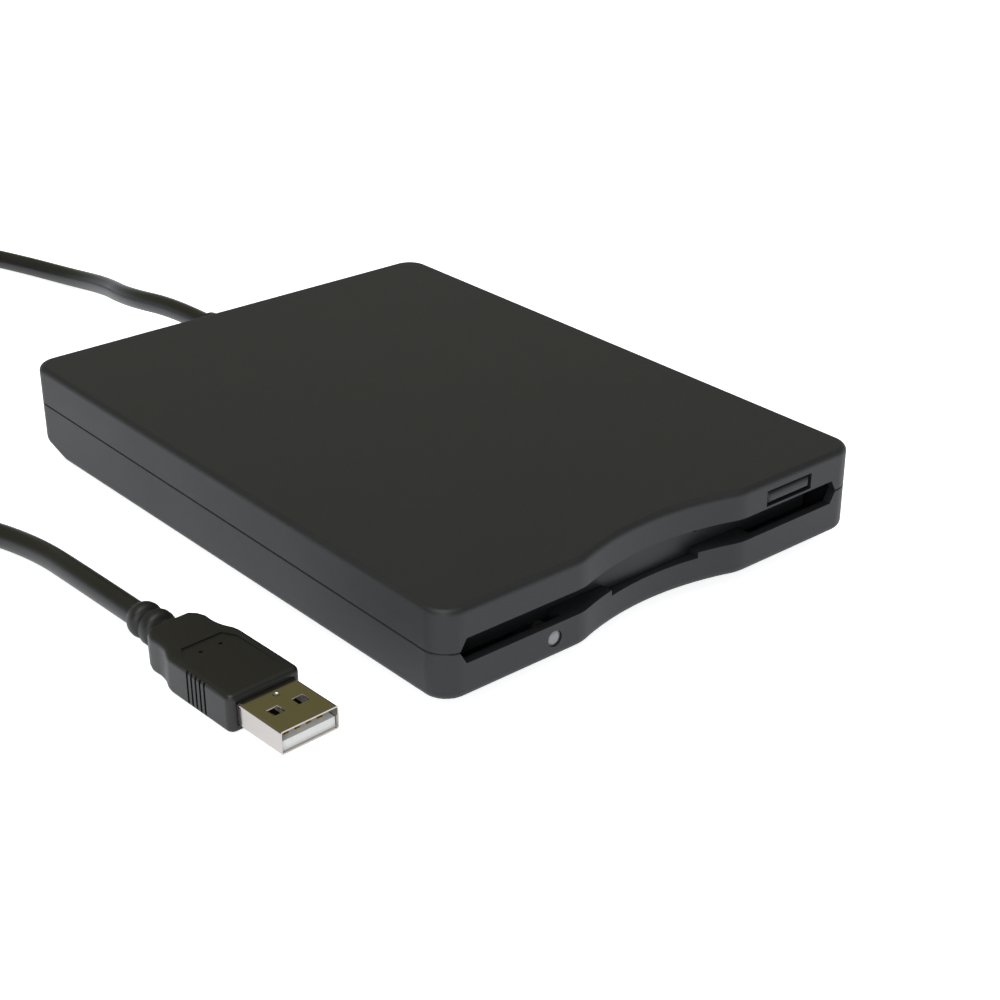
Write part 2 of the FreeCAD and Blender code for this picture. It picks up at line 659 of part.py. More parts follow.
# Eject button: cap in the front of the top cover with a stem that stands on the slide's tab
button_front = "-case_length / 2 - button_proud"
cap = block(
    ("button_x - button_width / 2", "button_x + button_width / 2"),
    (button_front, f"{button_front} + button_length"),
    ("button_low_z", "button_low_z + button_height"),
)
stem_x = ("button_x - button_stem_width / 2", "button_x + button_stem_width / 2")
TAB_TOP = "(slide_tab_z + slide_sheet)"
stem = block(stem_x, (f"{button_front} + button_length - 0.5", "slide_front_y + slide_tab_depth - 2"),
             (TAB_TOP, f"{TAB_TOP} + button_stem_thick"))
hook = block(stem_x, ("slide_front_y - 1.4", "slide_front_y - 0.6"), ("slide_tab_z", f"{TAB_TOP} + 0.1"))
node("eject_button", fuse(cap, stem, hook))

# Busy light: domed lens in the front wall, its small board and two wires to the rear
lens = fuse(
    rod("y", "led_radius", ("led_x", "-case_length / 2 + led_dome", "led_z"), "wall - led_dome"),
    rod("y", "led_flange_radius", ("led_x", CORNER_FRONT, "led_z"), "1.0"),
)
DOME_RADIUS = "((led_radius * led_radius + led_dome * led_dome) / (led_dome * 2))"
dome = doc.addObject("Part::Sphere", "Dome")
bind(dome, "Radius", DOME_RADIUS)
place(dome, "led_x", f"-case_length / 2 + {DOME_RADIUS}", "led_z")
dome_front = rod("y", "led_radius", ("led_x", "-case_length / 2 - 1", "led_z"), "led_dome + 1.1")
dome_cap = doc.addObject("Part::Common", "DomeCap")
dome_cap.Base = dome
dome_cap.Tool = dome_front
node("led_lens", fuse(lens, dome_cap))
LED_BACK = f"({CORNER_FRONT} + 1.0)"
node("led_body", rod("y", "led_radius", ("led_x", LED_BACK, "led_z"), "led_body_length"))
led_board_y = (f"{LED_BACK} + led_body_length", f"{LED_BACK} + led_body_length + led_board_thick")
led_board_x = ("led_x - led_board_half", "led_x + led_board_half")
node("led_board", block(led_board_x, led_board_y, ("floor_z", "led_z + 1")))

# Drive frame: pressed tray with guide slots, and its lid
DECK = "(chassis_z + chassis_sheet)"
CH_Y = ("chassis_front_y", "chassis_rear_y")
tray = [block(("-chassis_half_x", "chassis_half_x"), CH_Y, ("chassis_z", DECK))]
wall_slots = []
for side, low, high in (("left", "-chassis_half_x", "-chassis_half_x + chassis_sheet"),
                        ("right", "chassis_half_x - chassis_sheet", "chassis_half_x")):
    tray.append(block((low, high), CH_Y, ("chassis_z", "chassis_top_z")))
    for pin_y in ("pin_front_y", "pin_rear_y"):
        wall_slots.append(block(
            (f"{low} - 1", f"{high} + 1"),
            (f"{pin_y} - pin_radius - gap", f"{pin_y} + pin_radius + gap"),
            ("pin_z - cage_drop - pin_radius - gap", "pin_z + pin_radius + gap"),
        ))
tray.append(block(("-chassis_half_x", "drive_board_x - 2"),
                  ("chassis_rear_y - chassis_sheet", "chassis_rear_y"),
                  (DECK, "carriage_top_z")))
rod_feet = []
for y in ("rod_front_y", "chassis_rear_y - chassis_sheet - rod_mount"):
    rod_feet.append(block(("rod_x - 1.8", "rod_x + 1.8"), (y, f"{y} + rod_mount"), (DECK, "rod_z + 0.9")))
ROD_END = "(chassis_rear_y - chassis_sheet)"
rod_bore = rod("y", "rod_radius + seat", ("rod_x", "rod_front_y + 0.4", "rod_z"),
               f"{ROD_END} - rod_front_y - 0.4")
tip_bracket = block(("screw_x - 2", "screw_x + 2"),
                    ("screw_front_y - 0.2", "screw_front_y - 0.2 + screw_bracket"),
                    (DECK, "screw_z + 1.8"))
tip_bore = rod("y", "0.6 + run_gap", ("screw_x", "screw_front_y - 1", "screw_z"), "4")
motor_cheek = block(("screw_x - 5.4", "screw_x + 5.4"), ("stepper_y - 0.9", "stepper_y - 0.1"),
                    (DECK, "screw_z + 4"))
cheek_bore = rod("y", "screw_radius + gap", ("screw_x", "stepper_y - 2", "screw_z"), "4")
standoffs = []
for x in ("drive_board_x + 2", "drive_board_x + drive_board_width - 2"):
    for y in ("drive_board_y + 2.5", "chassis_rear_y - 4"):
        standoffs.append(rod("z", "1.5", (x, y, f"{DECK} - 0.2"), f"drive_board_z - {DECK} + 0.2"))
tray_holes = []
for side, y in DRIVE_SCREWS:
    tray_holes.append(rod("z", "screw_shank_radius + seat", (f"{side}drive_screw_x", y, "chassis_z - 1"),
                          "3"))
node("drive_chassis", cut(fuse(*tray, *rod_feet, tip_bracket, motor_cheek, *standoffs),
                          rod_bore, tip_bore, cheek_bore, *wall_slots, *tray_holes))
lid = block(("-chassis_half_x", "chassis_half_x"), ("lid_front_y", "chassis_rear_y"),
            ("chassis_top_z", "chassis_top_z + lid_sheet"))
lid_window = block(("-lid_window_x", "lid_window_x"), ("cage_window_y", "cage_rear_y"),
                   ("chassis_top_z - 1", "chassis_top_z + 2"))
node("drive_lid", cut(lid, lid_window))

# Eject slide: U-shaped plate whose slanted slots carry the cage pins
SLIDE_X = "(chassis_half_x - chassis_sheet - gap)"
SLIDE_Y = ("slide_front_y", "slide_rear_y")
slide = [block((f"-{SLIDE_X}", SLIDE_X), SLIDE_Y, ("slide_z", "slide_z + slide_sheet"))]
slide_cuts = [block(("-slide_opening_x", "slide_opening_x"),
                    ("slide_front_y + slide_strip", "slide_rear_y + 1"),
                    ("slide_z - 1", "slide_z + 2"))]
for low, high in ((f"-{SLIDE_X}", f"-{SLIDE_X} + slide_sheet"), (f"{SLIDE_X} - slide_sheet", SLIDE_X)):
    slide.append(block((low, high), SLIDE_Y, ("slide_z", "slide_wall_z")))
slide.append(block(("slide_tab_x", SLIDE_X), ("slide_front_y", "slide_front_y + slide_tab_depth"),
                   ("slide_tab_z", TAB_TOP)))
slide.append(block((f"{SLIDE_X} - slide_sheet", SLIDE_X),
                   ("slide_front_y", "slide_front_y + slide_tab_depth"),
                   ("slide_wall_z", TAB_TOP)))
REACH = "(pin_radius + gap)"
for pin_y in ("pin_front_y", "pin_rear_y"):
    ramp = [
        (f"{pin_y} - {REACH}", f"pin_z - {REACH}"),
        (f"{pin_y} + eject_travel - {REACH}", f"pin_z - cage_drop - {REACH}"),
        (f"{pin_y} + eject_travel + {REACH}", f"pin_z - cage_drop - {REACH}"),
        (f"{pin_y} + eject_travel + {REACH}", f"pin_z - cage_drop + {REACH}"),
        (f"{pin_y} + {REACH}", f"pin_z + {REACH}"),
        (f"{pin_y} - {REACH}", f"pin_z + {REACH}"),
    ]
    ramp_tool = doc.addObject("PartDesign::Body", "Ramp")
    pad(ramp_tool, outline(ramp_tool, "YZ_Plane", f"-{SLIDE_X} - 1", ramp), f"({SLIDE_X} + 1) * 2")
    slide_cuts.append(ramp_tool)
node("slide_plate", cut(fuse(*slide), *slide_cuts))

# Disk cage: folded sheet that holds the disk by its edges and drops with the slide
CAGE_X = "(chassis_half_x - chassis_sheet - slide_sheet - gap * 2)"
CAGE_Y = ("cage_front_y", "cage_rear_y")
cage = [block((f"-{CAGE_X}", CAGE_X), CAGE_Y, ("cage_high_z - cage_sheet", "cage_high_z"))]
for sign, low, high, lip in (
    ("-", f"-{CAGE_X}", f"-{CAGE_X} + cage_sheet", (f"-{CAGE_X}", "-cage_lip_x")),
    ("", f"{CAGE_X} - cage_sheet", CAGE_X, ("cage_lip_x", CAGE_X)),
):
    cage.append(block((low, high), CAGE_Y, ("cage_low_z", "cage_high_z")))
    cage.append(block(lip, CAGE_Y, ("cage_low_z", "cage_low_z + cage_sheet")))
    pin_start = f"-{CAGE_X} - slide_sheet - gap * 2 - chassis_sheet / 2" if sign else f"{CAGE_X} - cage_sheet"
    for pin_y in ("pin_front_y", "pin_rear_y"):
        cage.append(rod("x", "pin_radius", (pin_start, pin_y, "pin_z"),
                        "slide_sheet + gap * 2 + chassis_sheet / 2 + cage_sheet"))
window = block(("-cage_window_x", "cage_window_x"), ("cage_window_y", "cage_rear_y + 1"),
               ("cage_high_z - 2", "cage_high_z + 2"))
node("disk_cage", cut(fuse(*cage), window))

# Spindle motor: board, bearing, stator with its windings, and a flat rotor that carries the hub
BOARD_TOP = f"({DECK} + motor_board_thick)"
motor_board = block(("-motor_board_half", "motor_board_half"),
                    ("spindle_y - motor_board_half", "spindle_y + motor_board_half - 2"), (DECK, BOARD_TOP))
node("motor_board", cut(motor_board, rod("z", "bearing_radius + seat", ("0", "spindle_y", "0"), "20")))
node("spindle_bearing", ring("z", "bearing_radius", "shaft_radius + run_gap", ("0", "spindle_y", DECK),
                             f"bearing_top_z - {DECK}"))
TEETH = 9
teeth = []
windings = []
for step in range(TEETH):
    turn = FreeCAD.Rotation(Vector(0, 0, 1), 360.0 * step / TEETH)
    tooth = doc.addObject("Part::Box", "Tooth")
    bind(tooth, "Length", "core_radius - core_hub_radius + 1")
    bind(tooth, "Width", "tooth_width")
    bind(tooth, "Height", "core_thick")
    winding = doc.addObject("Part::Box", "Winding")
    bind(winding, "Length", "coil_length")
    bind(winding, "Width", "coil_width")
    bind(winding, "Height", "coil_high")
    core = doc.addObject("Part::Box", "WindingBore")
    bind(core, "Length", "coil_length + 2")
    bind(core, "Width", "tooth_width + seat * 2")
    bind(core, "Height", "core_thick + seat * 2")
    for item, start, width, low in (
        (tooth, size["core_hub_radius"] - 1, size["tooth_width"], "core_low_z"),
        (winding, size["coil_inner"], size["coil_width"], "coil_low_z"),
        (core, size["coil_inner"] - 1, size["tooth_width"] + 2 * size["seat"], "core_low_z - seat"),
    ):
        corner = turn.multVec(Vector(start, -width / 2, 0))
        item.Placement = FreeCAD.Placement(corner, turn)
        bind(item, "Placement.Base.y", f"spindle_y + {corner.y:.6f}")
        bind(item, "Placement.Base.z", low)
    teeth.append(tooth)
    windings.append(cut(winding, core))
core_hub = rod("z", "core_hub_radius", ("0", "spindle_y", "core_low_z"), "core_thick")
node("stator_core",
     cut(fuse(core_hub, *teeth), rod("z", "bearing_radius + seat", ("0", "spindle_y", "0"), "20")))
node("stator_windings", group(*windings))
CUP_LOW = "rotor_low_z"
cup = fuse(
    rod("z", "rotor_radius", ("0", "spindle_y", "rotor_top_z - rotor_sheet"), "rotor_sheet"),
    ring("z", "rotor_radius", "rotor_radius - rotor_sheet", ("0", "spindle_y", CUP_LOW),
         "rotor_top_z - rotor_low_z"),
)
node("rotor_cup", cut(cup, rod("z", "shaft_radius", ("0", "spindle_y", "0"), "20")))
node("rotor_magnet", ring("z", "rotor_radius - rotor_sheet", "rotor_radius - rotor_sheet - magnet_thick",
                          ("0", "spindle_y", CUP_LOW), "rotor_top_z - rotor_sheet - rotor_low_z"))
node("spindle_shaft",
     rod("z", "shaft_radius", ("0", "spindle_y", f"{DECK} + 0.1"), f"shaft_top_z - {DECK} - 0.1"))
hub = rod("z", "hub_radius", ("0", "spindle_y", "rotor_top_z"), "hub_thick")
node("spindle_hub", cut(hub, rod("z", "shaft_radius", ("0", "spindle_y", "0"), "20")))
node("drive_pin", rod("z", "drive_pin_radius", ("drive_pin_x", "spindle_y", "rotor_top_z + hub_thick"),
                      "drive_pin_high"))

# Head carriage on its rod, with the lower head fixed and the upper head on a hinged arm
nose_front = "head_y - head_half - 1.8"
carriage = [
    block(("-carriage_nose_x", "carriage_nose_x"), (nose_front, "carriage_y + 1"),
          ("carriage_z", "carriage_nose_z")),
    block(("-carriage_half_x", "carriage_half_x"), ("carriage_y", "carriage_rear_y"),
          ("carriage_z", "carriage_top_z")),
    block(("rod_x - 3", "-carriage_half_x + 1"), ("carriage_y + 2", "carriage_rear_y"),
          ("rod_z - 1.9", "rod_z + 2.4")),
    block(("carriage_half_x - 1", "screw_x + 2.6"), ("nut_y", "nut_y + nut_thick"),
          ("screw_z - 2.6", "screw_z + 2.6")),
]
for low, high in (("-arm_half_x - 2", "-arm_half_x - 0.6"), ("arm_half_x + 0.6", "arm_half_x + 2")):
    carriage.append(block((low, high), ("arm_pivot_y - 1.5", "arm_pivot_y + 1.5"),
                          ("carriage_top_z - 1", "arm_pivot_z + 1.3")))
bush_bore = rod("y", "rod_radius + run_gap", ("rod_x", "carriage_y", "rod_z"), "20")
nut_bore = rod("y", "screw_radius + gap", ("screw_x", "nut_y - 2", "screw_z"), "6")
ear_bore = rod("x", "arm_pin_radius + run_gap", ("-10", "arm_pivot_y", "arm_pivot_z"), "20")
node("head_carriage", cut(fuse(*carriage), bush_bore, nut_bore, ear_bore))
HEAD_X = ("-head_half", "head_half")
HEAD_Y = ("head_y - head_half", "head_y + head_half")
node("lower_head", block(HEAD_X, HEAD_Y, ("carriage_nose_z", "head_tip_z")))
arm = fuse(
    block(("-arm_half_x", "arm_half_x"), ("head_y - head_half - 1", "arm_pivot_y"),
          ("arm_z", "arm_z + arm_sheet")),
    rod("x", "arm_barrel_radius", ("-arm_half_x", "arm_pivot_y", "arm_pivot_z"), "arm_half_x * 2"),
)
node("head_arm", cut(arm, rod("x", "arm_pin_radius + run_gap", ("-10", "arm_pivot_y", "arm_pivot_z"), "20")))
node("upper_head", block(HEAD_X, HEAD_Y, ("head_open_z", "arm_z")))
node("arm_pin",
     rod("x", "arm_pin_radius", ("-arm_half_x - 2", "arm_pivot_y", "arm_pivot_z"), "arm_half_x * 2 + 4"))
node("guide_rod",
     rod("y", "rod_radius", ("rod_x", "rod_front_y + 0.5", "rod_z"), f"{ROD_END} - rod_front_y - 0.6"))
node("lead_screw", fuse(
    rod("y", "screw_radius", ("screw_x", "screw_front_y + 1.1", "screw_z"),
        "stepper_y - screw_front_y - 1.1"),
    rod("y", "0.6", ("screw_x", "screw_front_y", "screw_z"), "1.2"),
))
node("stepper_motor",
     rod("y", "stepper_radius", ("screw_x", "stepper_y + 0.1", "screw_z + 0.3"), "stepper_length"))

# Latch that holds the slide back, its post and springs
lever = fuse(
    block(("latch_x - latch_reach", "latch_x + latch_arm / 2"),
          ("latch_y - latch_arm / 2", "latch_y + latch_arm / 2"), ("latch_z", "latch_z + latch_thick")),
    block(("latch_x - latch_arm / 2", "latch_x + latch_arm / 2"), ("latch_y - latch_nose", "latch_y"),
          ("latch_z", "latch_z + latch_thick")),
    rod("z", "latch_arm / 2 + 0.6", ("latch_x", "latch_y", "latch_z"), "latch_thick"),
)
node("latch_lever", cut(lever, rod("z", "post_radius + run_gap", ("latch_x", "latch_y", "0"), "20")))
node("latch_post", fuse(
    rod("z", "post_radius", ("latch_x", "latch_y", DECK), f"post_top_z - {DECK}"),
    rod("z", "post_radius + 0.8", ("latch_x", "latch_y", DECK), f"latch_z - {DECK} - 0.1"),
))
node("latch_spring", ring("z", "post_radius + run_gap + spring_wall", "post_radius + run_gap",
                          ("latch_x", "latch_y", "latch_z + latch_thick + 0.1"), "2.6"))
springs = []
for side in ("-", ""):
    start = (f"{side}spring_x", "slide_rear_y + 0.5", "spring_z")
    springs.append(ring("y", "spring_radius", "spring_radius - spring_wall", start,
                        "chassis_rear_y - chassis_sheet - slide_rear_y - 0.6"))
node("slide_springs", group(*springs))

# Detector switches with their sprung pins
switches = []
for x in ("-switch_x", "switch_x", "switch_mid_x"):
    housing = block((f"{x} - switch_half", f"{x} + switch_half"),
                    ("switch_y - switch_half", "switch_y + switch_half"), (DECK, "switch_top_z"))
    bore_low = "switch_pin_top_z - switch_pin_length - switch_travel - 0.2"
    switches.append(cut(housing, rod("z", "switch_pin_radius + 0.2", (x, "switch_y", bore_low), "6")))
node("detector_switches", group(*switches))
for name, x in (("write_protect_pin", "-switch_x"), ("density_pin", "switch_x"),
                ("disk_in_pin", "switch_mid_x")):
    node(name, rod("z", "switch_pin_radius", (x, "switch_y", "switch_pin_top_z - switch_pin_length"),
                   "switch_pin_length"))

# Circuit boards, their chips, and the flat cable between them
node("drive_board", block(("drive_board_x", "drive_board_x + drive_board_width"),
                          ("drive_board_y", "chassis_rear_y - 1.5"),
                          ("drive_board_z", "drive_board_z + board_thick")))
USB_TOP = "(usb_board_z + board_thick)"
usb_board = block(("-usb_board_half", "usb_board_half"), ("usb_board_y", "usb_board_y + usb_board_depth"),
                  ("usb_board_z", USB_TOP))
usb_holes = [rod("z", "screw_shank_radius + seat", (f"{side}board_screw_x", "case_screw_y", "0"), "20")
             for side in ("-", "")]
node("usb_board", cut(usb_board, *usb_holes))
node("controller_chip", block(("chip_x", "chip_x + chip_side"),
                              ("usb_board_y + 1.2", "usb_board_y + 1.2 + chip_side"),
                              (USB_TOP, f"{USB_TOP} + chip_high")))
node("drive_chip", block(("drive_board_x + 4", "drive_board_x + 4 + chip_side"),
                         ("drive_board_y + 4", "drive_board_y + 4 + chip_side"),
                         ("drive_board_z + board_thick", "drive_board_z + board_thick + chip_high")))
node("crystal", block(("crystal_x", "crystal_x + crystal_length"),
                      ("usb_board_y + 2", "usb_board_y + 2 + crystal_depth"),
                      (USB_TOP, f"{USB_TOP} + crystal_high")))
flat_x = ("drive_board_x + 2", "drive_board_x + drive_board_width - 4")
FLAT_Z = f"({USB_TOP} + 0.7)"
drive_socket = block(("drive_board_x + 1", "drive_board_x + drive_board_width - 3"),
                     ("chassis_rear_y - 5.5", "chassis_rear_y - 2"),
                     ("drive_board_z + board_thick", f"{FLAT_Z} + 1.2"))
usb_socket = block(("drive_board_x + 1", "drive_board_x + drive_board_width - 3"),
                   ("usb_board_y + 0.3", "usb_board_y + 3.2"), (USB_TOP, f"{FLAT_Z} + 1.2"))
flat_slit = block(flat_x, ("chassis_rear_y - 4", "usb_board_y + 2"), (FLAT_Z, f"{FLAT_Z} + 0.3"))
node("flat_cable_sockets", cut(group(drive_socket, usb_socket), flat_slit))
node("flat_cable", block(("drive_board_x + 2.1", "drive_board_x + drive_board_width - 4.1"),
                         ("chassis_rear_y - 3.9", "usb_board_y + 1.9"),
                         (f"{FLAT_Z} + 0.05", f"{FLAT_Z} + 0.25")))
node("lead_header", block(("-header_half", "header_half"), ("usb_board_y + 1", "usb_board_y + 4"),
                          (USB_TOP, f"{USB_TOP} + 2")))

# Strain relief clamped in the rear wall, and the four wires inside it
relief = fuse(
    rod("y", "relief_flange", ("0", f"{INNER_REAR} - relief_flange_thick", "lead_exit_z"),
        "relief_flange_thick"),
    rod("y", "relief_neck", ("0", f"{INNER_REAR} - 0.1", "lead_exit_z"), "wall + 0.2"),
    rod("y", "relief_radius", ("0", "case_length / 2", "lead_exit_z"), "relief_length"),
)
node("strain_relief", relief)
wires = []
for step in range(4):
    x = size["wire_pitch"] * (step - 1.5)
    low = Vector(x, size["usb_board_y"] + 2.5, size["usb_board_z"] + size["board_thick"] + 2.45)
    high_y = size["case_length"] / 2 - size["wall"] - size["relief_flange_thick"] - 0.1
    high = Vector(x, high_y - 0.35, size["lead_exit_z"])
    along = high.sub(low)
    wire = Part.makeCylinder(size["wire_radius"], along.Length, low, along)
    wires.append(wire)
inner_wires = doc.addObject("Part::Feature", "InnerWires")
inner_wires.Shape = Part.makeCompound(wires)
node("inner_wires", inner_wires)

# The lead: free stretches as straight runs with rounded corners, and a put-away coil of two layers
REAR_EXIT = size["case_length"] / 2 + size["relief_length"]
FLOOR = size["lead_diameter"] / 2
REAR_ROUTE = [
    (0.0, REAR_EXIT, size["lead_exit_z"]),
    (0.0, 98.0, size["lead_exit_z"]),
    (-1.8, 119.0, 9.8),
    (3.6, 140.0, 5.6),
    (3.6, 159.0, 2.6),
    (-1.2, 177.0, FLOOR),
    (-7.2, 193.6, FLOOR),
    (-17.6, 206.3, FLOOR),
    (-33.2, 213.0, FLOOR),
    (-49.2, 213.0, FLOOR),
]
FRONT_ROUTE = [
    (-82.7, 179.5, FLOOR + size["coil_pitch"]),
    (-82.7, 164.0, FLOOR + size["coil_pitch"]),
    (-84.6, 146.0, 5.0),
    (-88.0, 122.0, FLOOR),
    (-90.4, 96.0, FLOOR),
    (-89.6, 70.0, FLOOR),
    (-83.2, 46.0, FLOOR),
    (-76.4, 27.0, FLOOR),
    (-76.373, 6.0, size["plug_z"]),
    (-75.505, -11.747, size["plug_z"]),
]


def corner_arc(before, corner, after):
    """A tangent arc as large as its two runs allow, and its radius."""
    in_run = corner.sub(before)
    out_run = after.sub(corner)
    turn = in_run.getAngle(out_run)
    setback = 0.45 * min(in_run.Length, out_run.Length)
    radius = setback / math.tan(turn / 2)
    start = corner.sub(in_run.normalize().multiply(setback))
    end = corner.add(out_run.normalize().multiply(setback))
    inwards = before.sub(corner).normalize().add(after.sub(corner).normalize()).normalize()
    middle = corner.add(inwards.multiply(radius / math.cos(turn / 2) - radius))
    return Part.Arc(start, middle, end), start, end, radius


def tube_path(route):
    points = [Vector(*point) for point in route]
    edges = []
    radii = []
    here = points[0]
    for step in range(1, len(points) - 1):
        arc, start, end, radius = corner_arc(points[step - 1], points[step], points[step + 1])
        edges.append(Part.LineSegment(here, start).toShape())
        edges.append(arc.toShape())
        radii.append(radius)
        here = end
    edges.append(Part.LineSegment(here, points[-1]).toShape())
    return Part.Wire(edges), radii


def tube(name, wire):
    """The solid of a round lead along a wire, checked against its section times its length."""
    radius = size["lead_diameter"] / 2
    first = wire.OrderedEdges[0]
    start = wire.OrderedVertexes[0].Point
    along = first.tangentAt(first.FirstParameter)
    section = Part.Wire(Part.Circle(start, along, radius).toShape())
    solid = wire.makePipeShell([section], True, False)
    if solid.Volume < 0:
        solid.reverse()
    ideal = math.pi * radius ** 2 * wire.Length
    print(f"{name}: length {wire.Length:.1f} mm, volume {solid.Volume / ideal:.4f} of section times length")
    made = doc.addObject("Part::Feature", name)
    made.Shape = solid
    return node(name, made)


lead_length = 0.0
for name, route in (("lead_rear", REAR_ROUTE), ("lead_front", FRONT_ROUTE)):
    wire, radii = tube_path(route)
    print(f"{name}: corner radii " + ", ".join(f"{radius:.0f}" for radius in radii))
    tube(name, wire)
    lead_length += wire.Length


def coil_point(turn):
    """The middle of the coiled lead after a number of turns: in, up a layer, and out again."""
    half = size["coil_turns"] / 2
    radius = size["coil_radius"] - size["coil_pitch"] * (half - abs(turn - half))
    climb = min(max((turn - half) / 0.5 + 0.5, 0.0), 1.0)
    height = FLOOR + size["coil_pitch"] * climb * climb * (3 - 2 * climb)
    angle = math.pi / 2 + 2 * math.pi * turn
    return Vector(
        size["coil_x"] + radius * math.cos(angle),
        size["coil_y"] + radius * math.sin(angle),
        height,
    )


def coil_heading(turn, step=1e-5):
    return coil_point(turn + step).sub(coil_point(turn - step)).normalize()


def biarc(start, out, end, into):
    """Two arcs that leave one point and reach another along given headings, and join smoothly."""
    span = end.sub(start)
    both = out.add(into)
    room = span.dot(both)
    spread = 2 * (1 - out.dot(into))
    reach = (math.sqrt(room * room + spread * span.dot(span)) - room) / spread
    knee_in = start.add(Vector(out).multiply(reach))
    knee_out = end.sub(Vector(into).multiply(reach))
    joint = knee_in.add(knee_out).multiply(0.5)
    return [arc_inside(start, knee_in, joint), arc_inside(joint, knee_out, end)]


def arc_inside(start, knee, end):
    """The arc that touches two equal legs at their ends."""
    chord_middle = start.add(end).multiply(0.5)
    half_chord = end.sub(start).Length / 2
    height = knee.sub(chord_middle).Length
    leg = knee.sub(start).Length
    rise = half_chord * (leg - half_chord) / height
    return Part.Arc(start, chord_middle.add(knee.sub(chord_middle).normalize().multiply(rise)), end)


def coil_wire():
    """The coil as biarcs of an eighth turn between its points, with straight ends."""
    steps = round(size["coil_turns"] * 4)
    marks = [size["coil_turns"] * step / steps for step in range(steps + 1)]
    first = coil_point(0)
    last = coil_point(size["coil_turns"])
    headings = [Vector(-1, 0, 0)] + [coil_heading(mark) for mark in marks[1:-1]] + [Vector(0, -1, 0)]
    arcs = []
    for step in range(steps):
        start = coil_point(marks[step])
        end = coil_point(marks[step + 1])
        arcs += biarc(start, headings[step], end, headings[step + 1])
    lead_in = Part.LineSegment(first.add(Vector(size["lead_diameter"], 0, 0)), first).toShape()
    lead_out = Part.LineSegment(last, last.sub(Vector(0, size["lead_diameter"], 0))).toShape()
    return Part.Wire([lead_in] + [arc.toShape() for arc in arcs] + [lead_out])


def least_gap(samples=400):
    """Least clear distance of the coil to itself, measured on points along its middle."""
    points = [coil_point(size["coil_turns"] * step / samples) for step in range(samples + 1)]
    apart = round(samples / size["coil_turns"] / 3)
    nearest = min(
        points[low].distanceToPoint(points[high])
        for low in range(samples)
        for high in range(low + apart, samples + 1)
    )
    return nearest - size["lead_diameter"]


coiled = coil_wire()
print(f"lead_coil: least gap to itself {least_gap():.2f} mm")
tube("lead_coil", coiled)
lead_length += coiled.Length
print(f"lead: {lead_length:.0f} mm from the strain relief to the plug")

# Tie round the coil's turns at the far side from the drive
TIE_ROOM = "(lead_diameter / 2 + 0.3)"
tie_outer_x = "coil_x + coil_radius + lead_diameter / 2 + 0.5"
tie_inner_x = "coil_x + coil_radius - coil_pitch * 1.3 - lead_diameter / 2 - 0.5"
tie_y = ("coil_y - tie_width / 2", "coil_y + tie_width / 2")
tie_top = "lead_diameter + coil_pitch + 0.4"
tie = cut(
    block((f"{tie_inner_x} - tie_thick", f"{tie_outer_x} + tie_thick"), tie_y,
          ("0", f"{tie_top} + tie_thick")),
    block((tie_inner_x, tie_outer_x), ("coil_y - tie_width", "coil_y + tie_width"), ("-1", tie_top)),
)
node("lead_tie", tie)


# Plug on the far end of the lead, lying on the table
def on_plug(*pieces):
    """Puts pieces made about the mouth of the plug body, nose along minus Y, where the plug lies."""
    made = group(*pieces)
    made.Placement.Rotation = FreeCAD.Rotation(Vector(0, 0, 1), size["plug_turn"])
    bind(made, "Placement.Base.x", "plug_x")
    bind(made, "Placement.Base.y", "plug_y")
    bind(made, "Placement.Base.z", "plug_z")
    return made


plug = doc.addObject("PartDesign::Body", "PlugBody")
half_plan = [
    ("plug_width / 2", "0"),
    ("plug_width / 2", "plug_grip"),
    ("plug_waist", "plug_grip + 4"),
    ("plug_waist - 0.5", "plug_body_length - 2.5"),
    ("plug_tail", "plug_body_length"),
]
plan = half_plan + [(f"-({x})", y) for x, y in reversed(half_plan)]
pad(plug, outline(plug, "XY_Plane", "-plug_high / 2", plan), "plug_high")


def plug_rim(edge):
    return edge.BoundBox.ZLength < 1e-6 or upright(edge)


round_edges(plug, "plug_round", plug_rim)
tail = [rod("y", "plug_neck_radius", ("0", "plug_body_length - 1", "0"), "plug_neck_length + 1")]
for start in ("plug_body_length + 2.2", "plug_body_length + 6.4"):
    tail.append(rod("y", "plug_ring_radius", ("0", start, "0"), "2.6"))
shell_x = ("-shell_width / 2", "shell_width / 2")
shell_y = ("-shell_length", "shell_root")
shell_zz = ("-shell_high / 2", "shell_high / 2")
root = block(("-shell_width / 2 - seat", "shell_width / 2 + seat"), ("-1", "shell_root + seat"),
             ("-shell_high / 2 - seat", "shell_high / 2 + seat"))
node("plug_body", on_plug(cut(fuse(plug, *tail), root)))
shell_bore = block(("-shell_width / 2 + shell_sheet", "shell_width / 2 - shell_sheet"),
                   ("-shell_length - 1", "30"),
                   ("-shell_high / 2 + shell_sheet", "shell_high / 2 - shell_sheet"))
shell_holes = [
    block((f"{side}shell_hole_x - shell_hole / 2", f"{side}shell_hole_x + shell_hole / 2"),
          ("-shell_hole_y - shell_hole / 2", "-shell_hole_y + shell_hole / 2"), ("-10", "10"))
    for side in ("-", "")
]
node("plug_shell", on_plug(cut(block(shell_x, shell_y, shell_zz), shell_bore, *shell_holes)))
tongue_low = "(-shell_high / 2 + shell_sheet)"
node("plug_tongue", on_plug(block(
    ("-shell_width / 2 + shell_sheet + 0.1", "shell_width / 2 - shell_sheet - 0.1"),
    ("-shell_length + 0.6", "shell_root"),
    (tongue_low, f"{tongue_low} + tongue_thick"),
)))
contacts = []
for step in (-1.5, -0.5, 0.5, 1.5):
    contacts.append(block(
        (f"contact_pitch * {step} - contact_width / 2", f"contact_pitch * {step} + contact_width / 2"),
        ("-shell_length + 1.8", "shell_root"),
        (f"{tongue_low} + tongue_thick", f"{tongue_low} + tongue_thick + contact_thick"),
    ))
node("plug_contacts", on_plug(*contacts))

